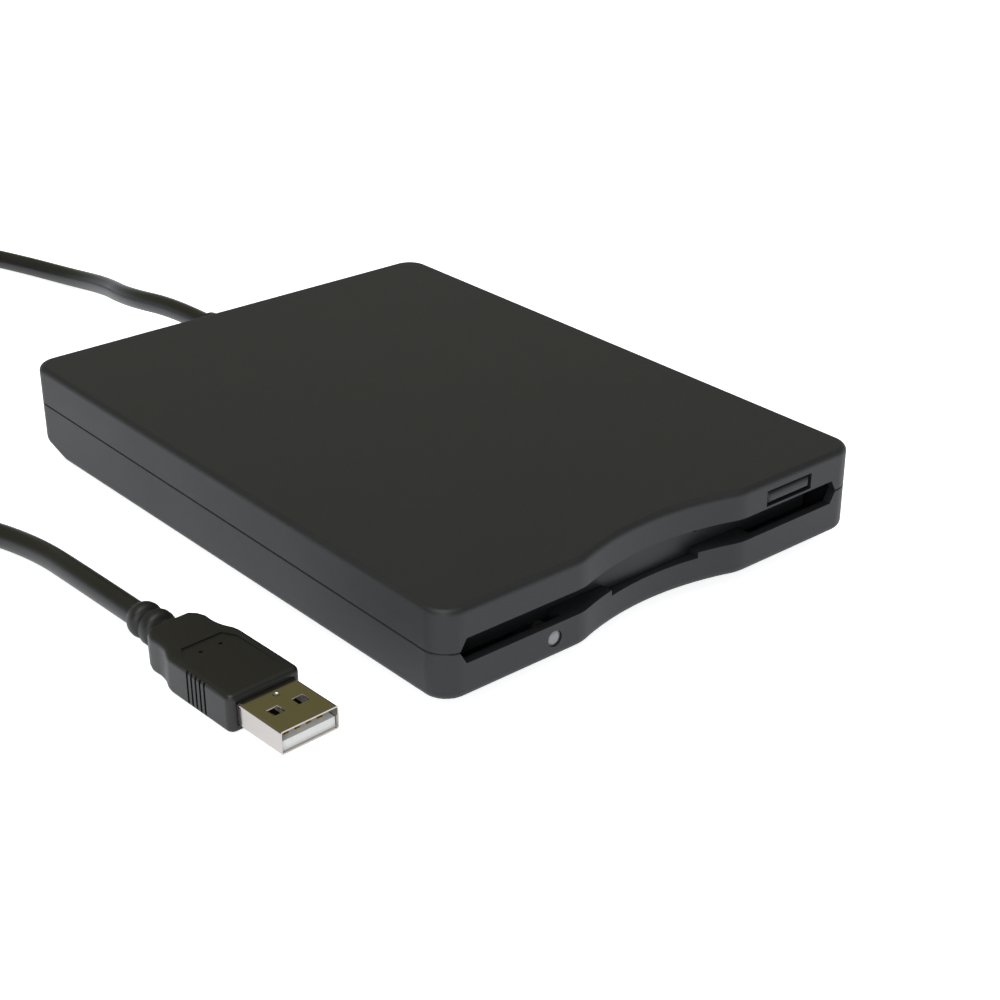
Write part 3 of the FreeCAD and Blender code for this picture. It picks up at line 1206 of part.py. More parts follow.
doc.recompute()
for made in doc.Objects:
    if "Invalid" in made.State or "Error" in made.State:
        raise ValueError(f"{made.Label} did not compute")
for name, made in nodes.items():
    if made.Shape.isNull() or not made.Shape.isValid() or not made.Shape.Solids:
        raise ValueError(f"{name} has no valid solid")
for name, made in nodes.items():
    made.Shape.exportStep(f"parts/{name}.step")
print(len(nodes), "sub-parts")
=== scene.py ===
import math

import bmesh
import bpy
from mathutils import Matrix, Vector


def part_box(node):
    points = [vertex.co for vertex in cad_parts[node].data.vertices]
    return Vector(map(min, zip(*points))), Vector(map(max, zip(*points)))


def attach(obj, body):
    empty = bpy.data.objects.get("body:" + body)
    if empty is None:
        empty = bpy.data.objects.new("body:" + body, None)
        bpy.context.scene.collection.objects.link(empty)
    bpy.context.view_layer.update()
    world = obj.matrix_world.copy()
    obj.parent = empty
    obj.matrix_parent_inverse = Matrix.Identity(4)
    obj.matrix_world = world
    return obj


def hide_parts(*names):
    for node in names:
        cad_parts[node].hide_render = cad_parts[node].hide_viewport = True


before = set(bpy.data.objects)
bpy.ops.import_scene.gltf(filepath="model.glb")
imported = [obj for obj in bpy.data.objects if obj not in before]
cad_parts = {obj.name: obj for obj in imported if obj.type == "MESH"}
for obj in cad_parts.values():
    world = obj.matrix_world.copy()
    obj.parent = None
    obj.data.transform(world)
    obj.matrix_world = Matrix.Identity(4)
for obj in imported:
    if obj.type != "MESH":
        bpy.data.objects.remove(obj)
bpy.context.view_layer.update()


# Camera: it stands to the left in front of the drive and looks down on it at the photograph's
# angle, with the two ends of the lead running out of the left edge of the picture.
view = bpy.data.cameras.new("view")
view.sensor_width = 36.0
view.lens = 66.89
view.clip_start = 0.01
camera = bpy.data.objects.new("camera", view)
camera.location = (-0.21335, -0.27763, 0.17505)
camera.rotation_euler = (math.radians(63.164), 0.0, math.radians(-40.101))
bpy.context.scene.collection.objects.link(camera)
bpy.context.scene.camera = camera
bpy.context.scene.view_settings.view_transform = "Standard"


class Shade:
    """A socket of a material; sums and products of sockets add Math nodes."""

    def __init__(self, paint, socket):
        self.paint = paint
        self.socket = socket

    def maths(self, operation, first, second):
        return self.paint.node("ShaderNodeMath", {"operation": operation}, [first, second])

    def __add__(self, other):
        return self.maths("ADD", self, other)

    def __radd__(self, other):
        return self.maths("ADD", other, self)

    def __mul__(self, other):
        return self.maths("MULTIPLY", self, other)

    def __gt__(self, other):
        return self.maths("GREATER_THAN", self, other)

    def __lt__(self, other):
        return self.maths("LESS_THAN", self, other)


class Paint:
    """The nodes of a material or of the room, with one method that adds any node."""

    def __init__(self, owner):
        owner.use_nodes = True
        self.owner = owner
        self.tree = owner.node_tree

    def node(self, kind, settings, values, output=0):
        made = self.tree.nodes.new(kind)
        for name, value in settings.items():
            if name == "stops":
                ramp = made.color_ramp.elements
                while len(ramp) < len(value):
                    ramp.new(1.0)
                for stop, (position, colour) in zip(ramp, value):
                    stop.position = position
                    stop.color = colour
            else:
                setattr(made, name, value)
        pairs = enumerate(values) if isinstance(values, list) else values.items()
        for name, value in pairs:
            self.feed(made.inputs[name], value)
        return Shade(self, made.outputs[output])

    def feed(self, socket, value):
        if isinstance(value, Shade):
            self.tree.links.new(value.socket, socket)
        else:
            socket.default_value = value

    def blend(self, factor, low, high):
        """A colour between two, by a factor from 0 to 1."""
        return self.node("ShaderNodeMix", {"data_type": "RGBA"}, {0: factor, 6: low, 7: high}, 2)

    def place(self):
        return self.node("ShaderNodeTexCoord", {}, {}, "Object")

    def noise(self, scale, detail=2.0, place=None):
        where = place or self.place()
        return self.node("ShaderNodeTexNoise", {}, {"Vector": where, "Scale": scale, "Detail": detail})


# Table and room: a pale seamless table under soft lights, in a room that is white at table
# height and olive grey above, as the metal and the top of the real drive show.
bpy.ops.mesh.primitive_plane_add(size=60.0)
table = bpy.context.object
table.name = "table"
table_paint = Paint(bpy.data.materials.new("table_white"))
table_shader = table_paint.tree.nodes["Principled BSDF"]
table_shader.inputs["Base Color"].default_value = (0.9, 0.9, 0.9, 1.0)
table_shader.inputs["Roughness"].default_value = 0.9
table_shader.inputs["Specular IOR Level"].default_value = 0.0
table_rays = table_paint.tree.nodes.new("ShaderNodeLightPath")
table_glow = (Shade(table_paint, table_rays.outputs["Is Camera Ray"]) * 0.78
              + Shade(table_paint, table_rays.outputs["Is Glossy Ray"]) * 0.34)
table_shader.inputs["Emission Color"].default_value = (1.0, 1.0, 1.0, 1.0)
table_paint.feed(table_shader.inputs["Emission Strength"], table_glow)
table.data.materials.append(table_paint.owner)

room = bpy.data.worlds.new("room")
bpy.context.scene.world = room
room_paint = Paint(room)
room_rays = room_paint.tree.nodes.new("ShaderNodeLightPath")
room_seen = (Shade(room_paint, room_rays.outputs["Is Glossy Ray"])
             + Shade(room_paint, room_rays.outputs["Is Transmission Ray"])) > 0.5
heading = room_paint.node("ShaderNodeTexCoord", {}, {}, "Generated")
height = room_paint.node("ShaderNodeSeparateXYZ", {}, [heading], "Z")
walls = room_paint.node(
    "ShaderNodeValToRGB",
    {"stops": [(0.0, (0.90, 0.94, 1.0, 1.0)), (0.16, (0.48, 0.51, 0.56, 1.0)),
               (0.34, (0.172, 0.162, 0.044, 1.0)), (0.75, (0.20, 0.185, 0.10, 1.0)),
               (1.0, (0.5, 0.5, 0.48, 1.0))]},
    [height],
)
sky = room_paint.tree.nodes["Background"]
soft_room = room_paint.blend(room_seen, (0.60, 0.62, 0.66, 1.0), walls)
backdrop = Shade(room_paint, room_rays.outputs["Is Camera Ray"])
room_paint.feed(sky.inputs["Color"], room_paint.blend(backdrop, soft_room, (1.0, 1.0, 1.0, 1.0)))


def soft_light(name, place, aim, width, power):
    lamp = bpy.data.lights.new(name, "AREA")
    lamp.shape = "DISK"
    lamp.size = width
    lamp.energy = power
    made = bpy.data.objects.new(name, lamp)
    made.location = place
    made.rotation_euler = (Vector(place) - Vector(aim)).to_track_quat("Z", "Y").to_euler()
    bpy.context.scene.collection.objects.link(made)


soft_light("overhead", (-0.4, -0.2, 1.2), (0.0, 0.0, 0.0), 0.9, 7.0)
soft_light("left_front", (-1.1, -1.0, 0.6), (0.0, 0.0, 0.0), 0.5, 5.0)


# Bottom cover and top cover: two shells moulded in dark ABS with a fine spark-eroded grain.
# Their rims are broken by a small chamfer, which leaves a groove along the parting line.
def plastic(name, colour, roughness, grain, depth, specular=0.5, clouds=0.12):
    """Moulded plastic or rubber: a fine grain in the surface and faint clouds in its colour."""
    paint = Paint(bpy.data.materials.new(name))
    shader = paint.tree.nodes["Principled BSDF"]
    fine = paint.noise(1.0 / grain)
    broad = paint.noise(60.0, 3.0)
    darker = tuple(part * (1.0 - clouds) for part in colour) + (1.0,)
    lighter = tuple(part * (1.0 + clouds) for part in colour) + (1.0,)
    paint.feed(shader.inputs["Base Color"], paint.blend(broad * 0.5 + fine * 0.5, darker, lighter))
    paint.feed(shader.inputs["Roughness"], roughness - 0.05 + broad * 0.1)
    shader.inputs["Specular IOR Level"].default_value = specular
    bump = paint.node("ShaderNodeBump", {}, {"Strength": 0.6, "Distance": depth, "Height": fine}, "Normal")
    paint.feed(shader.inputs["Normal"], bump)
    return paint


def copy_of(node_name):
    """A CAD node's shape with its loose triangles joined and its flat faces made whole."""
    shape = bmesh.new()
    shape.from_mesh(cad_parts[node_name].data)
    bmesh.ops.remove_doubles(shape, verts=shape.verts, dist=1e-6)
    bmesh.ops.dissolve_limit(shape, angle_limit=math.radians(0.3), verts=shape.verts, edges=shape.edges)
    return shape


def chamfer(shape, edges, width, steps=1):
    bmesh.ops.bevel(shape, geom=edges, offset=width, offset_type="OFFSET", affect="EDGES", segments=steps,
                    profile=0.5, material=-1, clamp_overlap=True)


def piece_from(shape, name, paint, body, slot_name, *stands_for, crease=35.0):
    """Makes an object of a shape, smooth but for its creases, that rides on a CAD body."""
    mesh = bpy.data.meshes.new(name)
    shape.to_mesh(mesh)
    shape.free()
    mesh.shade_smooth()
    mesh.set_sharp_from_angle(angle=math.radians(crease))
    mesh.materials.append(paint.owner)
    made = bpy.data.objects.new(name, mesh)
    bpy.context.scene.collection.objects.link(made)
    flat = made.modifiers.new("flat faces", "WEIGHTED_NORMAL")
    flat.keep_sharp = True
    if stands_for:
        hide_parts(*stands_for)
    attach(made, body)
    return made


case_half_x = 0.052
case_half_y = 0.071
case_corner = 0.005
parting_height = 0.0125
rim_chamfer = 0.00022


def on_outer_wall(point):
    """Tells whether a point is on the outside of the case, apart from the scallop."""
    across = abs(point.x) - (case_half_x - case_corner)
    along = abs(point.y) - (case_half_y - case_corner)
    if across > 0 and along > 0:
        return abs(math.hypot(across, along) - case_corner) < 0.0002
    return abs(max(across, along) - case_corner) < 0.0001


case_colour = (0.0112, 0.0120, 0.0136)
case_plastic = plastic("case_plastic", case_colour, 0.5, 0.00028, 0.00006, specular=0.48, clouds=0.3)
for cover in ("bottom_cover", "top_cover"):
    shell = copy_of(cover)
    rim = [edge for edge in shell.edges
           if all(abs(vert.co.z - parting_height) < 1e-5 and on_outer_wall(vert.co) for vert in edge.verts)
           and any(abs(face.normal.z) < 0.5 for face in edge.link_faces)]
    chamfer(shell, rim, rim_chamfer)
    piece_from(shell, cover + "_shell", case_plastic, "case", "case_plastic", cover, crease=18.0)


# Feet: four discs of soft black rubber let into recesses of the sloping underside. Their
# lower edges are rounded and their faces are dull from use.
foot_rubber = plastic("foot_rubber", (0.012, 0.012, 0.012), 0.8, 0.0006, 0.00008)
feet = copy_of("rubber_feet")
chamfer(feet, [edge for edge in feet.edges if all(vert.co.z < 0.0001 for vert in edge.verts)], 0.0005, 3)
piece_from(feet, "feet", foot_rubber, "case", "foot_rubber", "rubber_feet")


# Drive frame, its lid and the eject slide: folded galvanised sheet with the soft crystal
# pattern of zinc, bright at cut edges. The cage that carries the disk is the same sheet.
def dress(node_name, paint):
    """Gives a CAD node that stays its finish."""
    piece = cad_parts[node_name]
    piece.data.materials.clear()
    piece.data.materials.append(paint.owner)


def metal(name, colour, roughness, scale, stretch=(1.0, 1.0, 1.0), variation=0.12, depth=0.00001):
    """Bare metal: noise stretched along the way that it was rolled, turned or drawn."""
    paint = Paint(bpy.data.materials.new(name))
    shader = paint.tree.nodes["Principled BSDF"]
    drawn = paint.node("ShaderNodeMapping", {}, {"Vector": paint.place(), "Scale": stretch})
    grain = paint.noise(scale, 4.0, drawn)
    stain = paint.noise(140.0, 3.0)
    darker = tuple(part * (1.0 - variation) for part in colour) + (1.0,)
    lighter = tuple(min(part * (1.0 + variation), 1.0) for part in colour) + (1.0,)
    paint.feed(shader.inputs["Base Color"], paint.blend(stain * 0.6 + grain * 0.4, darker, lighter))
    paint.feed(shader.inputs["Roughness"], roughness - 0.08 + grain * 0.16)
    shader.inputs["Metallic"].default_value = 1.0
    bump = paint.node("ShaderNodeBump", {}, {"Strength": 0.3, "Distance": depth, "Height": grain}, "Normal")
    paint.feed(shader.inputs["Normal"], bump)
    return paint


zinc_sheet = metal("zinc_sheet", (0.60, 0.61, 0.62), 0.38, 900.0, variation=0.18)
crystals = zinc_sheet.node("ShaderNodeTexVoronoi", {},
                           {"Vector": zinc_sheet.place(), "Scale": 260.0}, "Color")
flecks = zinc_sheet.node("ShaderNodeSeparateColor", {}, [crystals], "Red")
zinc_shader = zinc_sheet.tree.nodes["Principled BSDF"]
zinc_sheet.feed(zinc_shader.inputs["Base Color"],
                zinc_sheet.blend(flecks, (0.50, 0.51, 0.52, 1.0), (0.68, 0.69, 0.70, 1.0)))
for sheet_name in ("drive_chassis", "drive_lid", "slide_plate", "disk_cage", "latch_lever"):
    dress(sheet_name, zinc_sheet)


# Spindle motor: a flat outer-rotor motor on its own board. Nine copper windings on a stack of
# electrical steel sit inside a ring magnet, and the pressed cup carries the disk's hub.
def board(name, mask_low, mask_high):
    """A circuit board: a thin solder mask over copper tracks, with tinned pads."""
    paint = Paint(bpy.data.materials.new(name))
    shader = paint.tree.nodes["Principled BSDF"]
    tracks = paint.node("ShaderNodeTexBrick", {"offset": 0.37, "squash": 0.6, "squash_frequency": 3},
                        {"Vector": paint.place(), "Scale": 420.0, "Mortar Size": 0.06,
                         "Mortar Smooth": 0.1}, "Fac")
    dots = paint.node("ShaderNodeTexVoronoi", {}, {"Vector": paint.place(), "Scale": 330.0}, "Distance")
    pads = dots < 0.16
    mask = paint.blend(tracks, mask_low, mask_high)
    paint.feed(shader.inputs["Base Color"], paint.blend(pads, mask, (0.62, 0.60, 0.54, 1.0)))
    paint.feed(shader.inputs["Metallic"], pads * 0.9)
    paint.feed(shader.inputs["Roughness"], 0.32 + paint.noise(500.0) * 0.1)
    bump = paint.node("ShaderNodeBump", {},
                      {"Strength": 0.4, "Distance": 0.00003, "Height": tracks}, "Normal")
    paint.feed(shader.inputs["Normal"], bump)
    return paint


def banded(paint, axis, pitch, low, high, depth):
    """Draws even bands across an axis into the colour and the surface of a material."""
    bands = paint.node("ShaderNodeTexWave", {"bands_direction": axis, "wave_profile": "SIN"},
                       {"Vector": paint.place(), "Scale": math.pi / (10.0 * pitch),
                        "Distortion": 0.0}, "Fac")
    shader = paint.tree.nodes["Principled BSDF"]
    paint.feed(shader.inputs["Base Color"], paint.blend(bands, low, high))
    bump = paint.node("ShaderNodeBump", {}, {"Strength": 1.0, "Distance": depth, "Height": bands}, "Normal")
    paint.feed(shader.inputs["Normal"], bump)
    return bands


green_board = board("green_board", (0.006, 0.075, 0.022, 1.0), (0.022, 0.155, 0.045, 1.0))
dress("motor_board", green_board)
bronze = metal("sintered_bronze", (0.62, 0.40, 0.20), 0.42, 2500.0, depth=0.00003)
dress("spindle_bearing", bronze)
lamination = metal("lamination_steel", (0.42, 0.43, 0.45), 0.4, 1500.0)
banded(lamination, "Z", 0.00013, (0.30, 0.31, 0.33, 1.0), (0.50, 0.51, 0.53, 1.0), 0.00003)
dress("stator_core", lamination)
enamelled = metal("enamelled_copper", (0.72, 0.30, 0.12), 0.28, 1200.0)
banded(enamelled, "DIAGONAL", 0.00022, (0.48, 0.16, 0.05, 1.0), (0.85, 0.40, 0.18, 1.0), 0.00008)
windings = copy_of("stator_windings")
outer_edges = [edge for edge in windings.edges if edge.calc_length() > 0.0007 and edge.is_convex]
chamfer(windings, outer_edges, 0.00022, 2)
piece_from(windings, "windings", enamelled, "case", "copper_wire", "stator_windings")
cup_steel = metal("pressed_steel", (0.58, 0.58, 0.59), 0.3, 700.0, (1.0, 1.0, 4.0))
dress("rotor_cup", cup_steel)
ferrite = plastic("ferrite", (0.03, 0.03, 0.033), 0.62, 0.0002, 0.00003)
dress("rotor_magnet", ferrite)
ground_steel = metal("ground_steel", (0.66, 0.66, 0.67), 0.2, 800.0, (1.0, 1.0, 6.0), 0.06)
for turned in ("spindle_shaft", "spindle_hub", "drive_pin", "arm_pin", "latch_post", "door_wire"):
    dress(turned, ground_steel)


# Head carriage: glass-filled resin block on a ground rod, moved by a screw that the stepper
# turns. The lower head is bonded to its nose and the upper one hangs on a sprung steel arm.
carriage_resin = plastic("carriage_resin", (0.045, 0.045, 0.05), 0.5, 0.0004, 0.00004)
dress("head_carriage", carriage_resin)
arm_sheet = metal("arm_sheet", (0.64, 0.62, 0.58), 0.3, 500.0, (1.0, 8.0, 1.0))
dress("head_arm", arm_sheet)
head_ceramic = plastic("head_ceramic", (0.70, 0.69, 0.64), 0.22, 0.0003, 0.00001, clouds=0.05)
for head in ("lower_head", "upper_head"):
    dress(head, head_ceramic)
guide_steel = metal("guide_steel", (0.68, 0.68, 0.69), 0.16, 600.0, (1.0, 0.2, 1.0), 0.05)
dress("guide_rod", guide_steel)
screw_thread = metal("rolled_thread", (0.6, 0.6, 0.6), 0.25, 700.0)
banded(screw_thread, "Y", 0.0006, (0.34, 0.34, 0.34, 1.0), (0.74, 0.74, 0.73, 1.0), 0.0002)
dress("lead_screw", screw_thread)
motor_can = metal("motor_can", (0.55, 0.56, 0.57), 0.34, 500.0, (1.0, 5.0, 1.0))
dress("stepper_motor", motor_can)


# Springs of the door, the latch and the slide: round music wire wound into close helices
# that fill the room their sleeves hold in the solid model.
spring_steel = metal("music_wire", (0.56, 0.56, 0.58), 0.25, 900.0, variation=0.08)


def round_wire(name, route, across, paint, rings, steps):
    """A round wire or cable along a NURBS curve near the given places, with closed ends."""
    line = bpy.data.curves.new(name, "CURVE")
    line.dimensions = "3D"
    line.bevel_depth = across / 2
    line.bevel_resolution = rings
    line.resolution_u = steps
    line.use_fill_caps = True
    run = line.splines.new("NURBS")
    run.points.add(len(route) - 1)
    for point, place in zip(run.points, route):
        point.co = (*place, 1.0)
    run.order_u = 3
    run.use_endpoint_u = True
    line.materials.append(paint.owner)
    made = bpy.data.objects.new(name, line)
    bpy.context.scene.collection.objects.link(made)
    return made


def helix(name, low, high, along, wire, pitch):
    """One spring wound of round wire, which fills a box along one of its axes."""
    middle = (low + high) / 2
    length = high[along] - low[along] - wire
    across = [axis for axis in range(3) if axis != along]
    radius = (high[across[0]] - low[across[0]]) / 2 - wire / 2
    turns = max(2, round(length / pitch))
    route = []
    for step in range(turns * 10 + 1):
        angle = 2 * math.pi * step / 10
        place = [0.0, 0.0, 0.0]
        place[along] = low[along] + wire / 2 + length * step / (turns * 10)
        place[across[0]] = middle[across[0]] + radius * math.cos(angle)
        place[across[1]] = middle[across[1]] + radius * math.sin(angle)
        route.append(place)
    return round_wire(name, route, wire, spring_steel, 2, 3)


def wound(node_name, along, wire, pitch):
    low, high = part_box(node_name)
    spring = helix(node_name + "_wire", Vector(low), Vector(high), along, wire, pitch)
    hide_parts(node_name)
    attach(spring, "case")


wound("door_spring", 0, 0.0003, 0.0005)
wound("latch_spring", 2, 0.0004, 0.0006)
slide_low, slide_high = (Vector(corner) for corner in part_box("slide_springs"))
spring_across = slide_high.z - slide_low.z
for side, start in (("left", slide_low.x), ("right", slide_high.x - spring_across)):
    low = Vector((start, slide_low.y, slide_low.z))
    high = Vector((start + spring_across, slide_high.y, slide_high.z))
    spring = helix(f"slide_spring_{side}", low, high, 1, 0.0004, 0.0011)
    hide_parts("slide_springs")
    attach(spring, "case")


# Detector switches: three small black housings whose pale pins feel the disk's tabs and its
# presence.
switch_resin = plastic("switch_resin", (0.02, 0.02, 0.02), 0.45, 0.0003, 0.00002)
dress("detector_switches", switch_resin)
pin_resin = plastic("pin_resin", (0.62, 0.60, 0.54), 0.4, 0.0003, 0.00001, clouds=0.04)
for pin in ("write_protect_pin", "density_pin", "disk_in_pin"):
    dress(pin, pin_resin)


# Circuit boards and what stands on them: chips in black epoxy, a crystal in a drawn can, ivory
# sockets, and a short flat cable of tinned conductors in pale film.
for circuit in ("drive_board", "usb_board"):
    dress(circuit, green_board)
# The lamp board's near-black colour is painted shade: it makes the board read as the dark inside of the
# slot it sits behind.
lamp_board_painted_shade = plastic("lamp_board_painted_shade", (0.006, 0.007, 0.006), 0.5, 0.0006, 0.00002)
dress("led_board", lamp_board_painted_shade)
chip_resin = plastic("chip_resin", (0.018, 0.018, 0.019), 0.55, 0.00015, 0.00002)
for chip in ("controller_chip", "drive_chip"):
    dress(chip, chip_resin)
crystal_can = metal("crystal_can", (0.72, 0.71, 0.69), 0.22, 400.0, variation=0.05)
crystal = copy_of("crystal")
chamfer(crystal, [edge for edge in crystal.edges], 0.0004, 3)
piece_from(crystal, "crystal_case", crystal_can, "case", "crystal_can", "crystal")
socket_resin = plastic("socket_resin", (0.66, 0.62, 0.50), 0.42, 0.0004, 0.00002, clouds=0.05)
for socket_name in ("flat_cable_sockets", "lead_header"):
    dress(socket_name, socket_resin)
cable_film = plastic("cable_film", (0.70, 0.70, 0.66), 0.3, 0.0004, 0.00001)
banded(cable_film, "X", 0.0005, (0.72, 0.71, 0.66, 1.0), (0.45, 0.45, 0.44, 1.0), 0.00004)
dress("flat_cable", cable_film)
four_wires_wide = 0.0064
wire_paint = plastic("wire_insulation", (0.3, 0.3, 0.3), 0.35, 0.0005, 0.00001)
wire_across = wire_paint.node("ShaderNodeSeparateXYZ", {}, [wire_paint.place()], "X")
four_colours = wire_paint.node(
    "ShaderNodeValToRGB",
    {"stops": [(0.0, (0.45, 0.01, 0.01, 1.0)), (0.25, (0.62, 0.60, 0.56, 1.0)),
               (0.5, (0.01, 0.20, 0.03, 1.0)), (0.75, (0.012, 0.012, 0.012, 1.0))]},
    [wire_across * (1.0 / four_wires_wide) + 0.5],
)
four_colours.socket.node.color_ramp.interpolation = "CONSTANT"
wire_paint.feed(wire_paint.tree.nodes["Principled BSDF"].inputs["Base Color"], four_colours)
dress("inner_wires", wire_paint)


# Strain relief: vinyl boot clamped in the rear wall, with a taper and three grooves that let
# it bend with the lead.
def turned_piece(outline, axis_point, steps=40):
    """A closed solid of revolution about a line along Y, from pairs of place and radius."""
    shape = bmesh.new()
    verts = [shape.verts.new((radius, along, 0.0)) for along, radius in outline]
    edges = [shape.edges.new(pair) for pair in zip(verts, verts[1:])]
    bmesh.ops.spin(shape, geom=verts + edges, cent=(0, 0, 0), axis=(0, 1, 0), dvec=(0, 0, 0),
                   angle=2 * math.pi, steps=steps, use_merge=True, use_duplicate=False)
    bmesh.ops.remove_doubles(shape, verts=shape.verts, dist=1e-7)
    bmesh.ops.recalc_face_normals(shape, faces=shape.faces)
    bmesh.ops.translate(shape, verts=shape.verts, vec=axis_point)
    return shape


jacket_vinyl = plastic("jacket_vinyl", (0.010, 0.010, 0.010), 0.36, 0.0007, 0.00002)
boot_start = 0.0678
boot_outline = [
    (boot_start, 0.0), (boot_start, 0.0044), (boot_start + 0.0002, 0.0046),
    (0.0691, 0.0046), (0.0692, 0.0032),
    (0.0710, 0.0032), (0.0711, 0.0039), (0.0714, 0.0040), (0.0736, 0.0040), (0.0739, 0.0038),
    (0.0741, 0.0031), (0.0749, 0.0031), (0.0751, 0.0037), (0.0753, 0.0039), (0.0769, 0.0038),
    (0.0772, 0.0036), (0.0774, 0.0030), (0.0782, 0.0030), (0.0784, 0.0035), (0.0786, 0.0037),
    (0.0801, 0.0036), (0.0804, 0.0034), (0.0806, 0.0029), (0.0814, 0.0029), (0.0816, 0.0033),
    (0.0830, 0.0033), (0.0834, 0.0030), (0.0835, 0.0027), (0.0835, 0.0),
]
boot = turned_piece(boot_outline, (0.0, 0.0, 0.0125))
boot_piece = piece_from(boot, "boot", jacket_vinyl, "case", "cable_jacket", "strain_relief")


# Plug body: black vinyl moulded over the plug, flat and wide at the grip, drawn in behind it.
# A shallow panel and two dots are sunk in its top, five ribs are cut in each flank, and two
# rings on its neck let the lead bend.
def on_plug(shape):
    """Turns and moves a shape made about the mouth of the plug body, nose along minus Y."""
    turn = Matrix.Rotation(math.radians(2.8), 3, "Z")
    bmesh.ops.rotate(shape, verts=shape.verts, cent=(0, 0, 0), matrix=turn)
    bmesh.ops.translate(shape, verts=shape.verts, vec=(-0.0736, -0.0507, 0.0038))
    return shape


def slab(outline, low, high):
    """A straight-sided solid from an outline in plan, between two heights."""
    shape = bmesh.new()
    face = shape.faces.new([shape.verts.new((across, along, low)) for across, along in outline])
    raised = bmesh.ops.extrude_face_region(shape, geom=[face])
    top = [item for item in raised["geom"] if isinstance(item, bmesh.types.BMVert)]
    bmesh.ops.translate(shape, verts=top, vec=(0, 0, high - low))
    bmesh.ops.recalc_face_normals(shape, faces=shape.faces)
    return shape


def brick(sizes, middle):
    shape = bmesh.new()
    bmesh.ops.create_cube(shape, size=1.0)
    bmesh.ops.scale(shape, verts=shape.verts, vec=sizes)
    bmesh.ops.translate(shape, verts=shape.verts, vec=middle)
    return shape


def both_sides(half):
    return half + [(-across, along) for across, along in reversed(half)]


def carved(shape, cutters):
    """A shape with other closed shapes cut out of it."""
    scratch = []
    for name, part in [("blank", shape)] + [("cutter", cutter) for cutter in cutters]:
        mesh = bpy.data.meshes.new(name)
        part.to_mesh(mesh)
        part.free()
        scratch.append(bpy.data.objects.new(name, mesh))
        bpy.context.scene.collection.objects.link(scratch[-1])
    blank = scratch[0]
    for cutter in scratch[1:]:
        knife = blank.modifiers.new("cut", "BOOLEAN")
        knife.operation = "DIFFERENCE"
        knife.solver = "EXACT"
        knife.object = cutter
    bpy.context.view_layer.update()
    made = bpy.data.meshes.new_from_object(blank.evaluated_get(bpy.context.evaluated_depsgraph_get()))
    for item in scratch:
        bpy.data.objects.remove(item)
    result = bmesh.new()
    result.from_mesh(made)
    bpy.data.meshes.remove(made)
    bmesh.ops.remove_doubles(result, verts=result.verts, dist=1e-7)
    return result


plug_half = [(0.0075, 0.0), (0.0075, 0.0176), (0.0072, 0.0190), (0.0064, 0.0208), (0.0061, 0.0220),
             (0.0059, 0.0236), (0.0060, 0.0256), (0.0054, 0.0274), (0.0041, 0.0288)]
plug_half_high = 0.0037
grip = slab(both_sides(plug_half), -plug_half_high, plug_half_high)
nose_corners = [edge for edge in grip.edges
                if all(vert.co.y < 1e-5 for vert in edge.verts)
                and abs(edge.verts[0].co.z - edge.verts[1].co.z) > plug_half_high]
chamfer(grip, nose_corners, 0.0014, 5)
flat_rims = [edge for edge in grip.edges if len({round(vert.co.z, 5) for vert in edge.verts}) == 1]
chamfer(grip, flat_rims, 0.0010, 4)
panel_half = [(0.0056, 0.0030), (0.0056, 0.0160), (0.0042, 0.0186)]
panel = slab(both_sides(panel_half), plug_half_high - 0.0003, plug_half_high + 0.002)
bmesh.ops.rotate(panel, verts=panel.verts, cent=(0.0, 0.0186, plug_half_high - 0.0003),
                 matrix=Matrix.Rotation(math.radians(-1.05), 3, "X"))
cutters = [panel]
for across in (-0.0021, 0.0021):
    dot = bmesh.new()
    bmesh.ops.create_cone(dot, cap_ends=True, segments=16, radius1=0.0004, radius2=0.0004, depth=0.002)
    bmesh.ops.translate(dot, verts=dot.verts, vec=(across, 0.0158, plug_half_high))
    cutters.append(dot)
groove_pitch = 0.00125
for side in (-1, 1):
    for step in range(5):
        place = (side * 0.0076, 0.0072 + groove_pitch * step, 0.0)
        cutters.append(brick((0.0011, 0.00055, 0.0068), place))
cutters.append(brick((0.0121, 0.0090, 0.0046), (0.0, -0.0005, 0.0)))
grip = carved(grip, cutters)
neck_outline = [
    (0.0270, 0.0), (0.0270, 0.0036), (0.0286, 0.0036), (0.0294, 0.0032), (0.0300, 0.0028),
    (0.0310, 0.0027), (0.0313, 0.0032), (0.0317, 0.0035), (0.0323, 0.0036), (0.0332, 0.0036),
    (0.0337, 0.0034), (0.0340, 0.0030), (0.0343, 0.0027), (0.0353, 0.0027), (0.0356, 0.0031),
    (0.0360, 0.0034), (0.0366, 0.0035), (0.0374, 0.0034), (0.0379, 0.0032), (0.0383, 0.0028),
    (0.0390, 0.0026), (0.0390, 0.0),
]
neck = turned_piece(neck_outline, (0.0, 0.0, 0.0))
neck_mesh = bpy.data.meshes.new("neck")
neck.to_mesh(neck_mesh)
neck.free()
grip.from_mesh(neck_mesh)
bpy.data.meshes.remove(neck_mesh)
plug_vinyl = plastic("plug_vinyl", (0.0085, 0.0085, 0.0085), 0.46, 0.0004, 0.00004)
plug_piece = piece_from(on_plug(grip), "plug_moulding", plug_vinyl, "case", "plug_moulding", "plug_body")


# Plug shell: folded tube of nickel-plated steel with two latch holes and a small dimple in its
# top. A white tongue inside carries the four gold-plated contacts.
nickel = metal("nickel_plate", (0.52, 0.49, 0.47), 0.14, 500.0, (1.0, 0.15, 1.0), 0.04, 0.000005)
shell_middle = (0.0, -0.00405, 0.0)
hole_across = 0.0026
hole_along = -0.0062
hole_side = 0.0022


def rounded_along(shape, width, steps):
    """Rounds the four lengthwise edges of a block and hands it back."""
    lengthwise = [edge for edge in shape.edges
                  if abs(edge.verts[0].co.y - edge.verts[1].co.y) > 0.01]
    chamfer(shape, lengthwise, width, steps)
    return shape


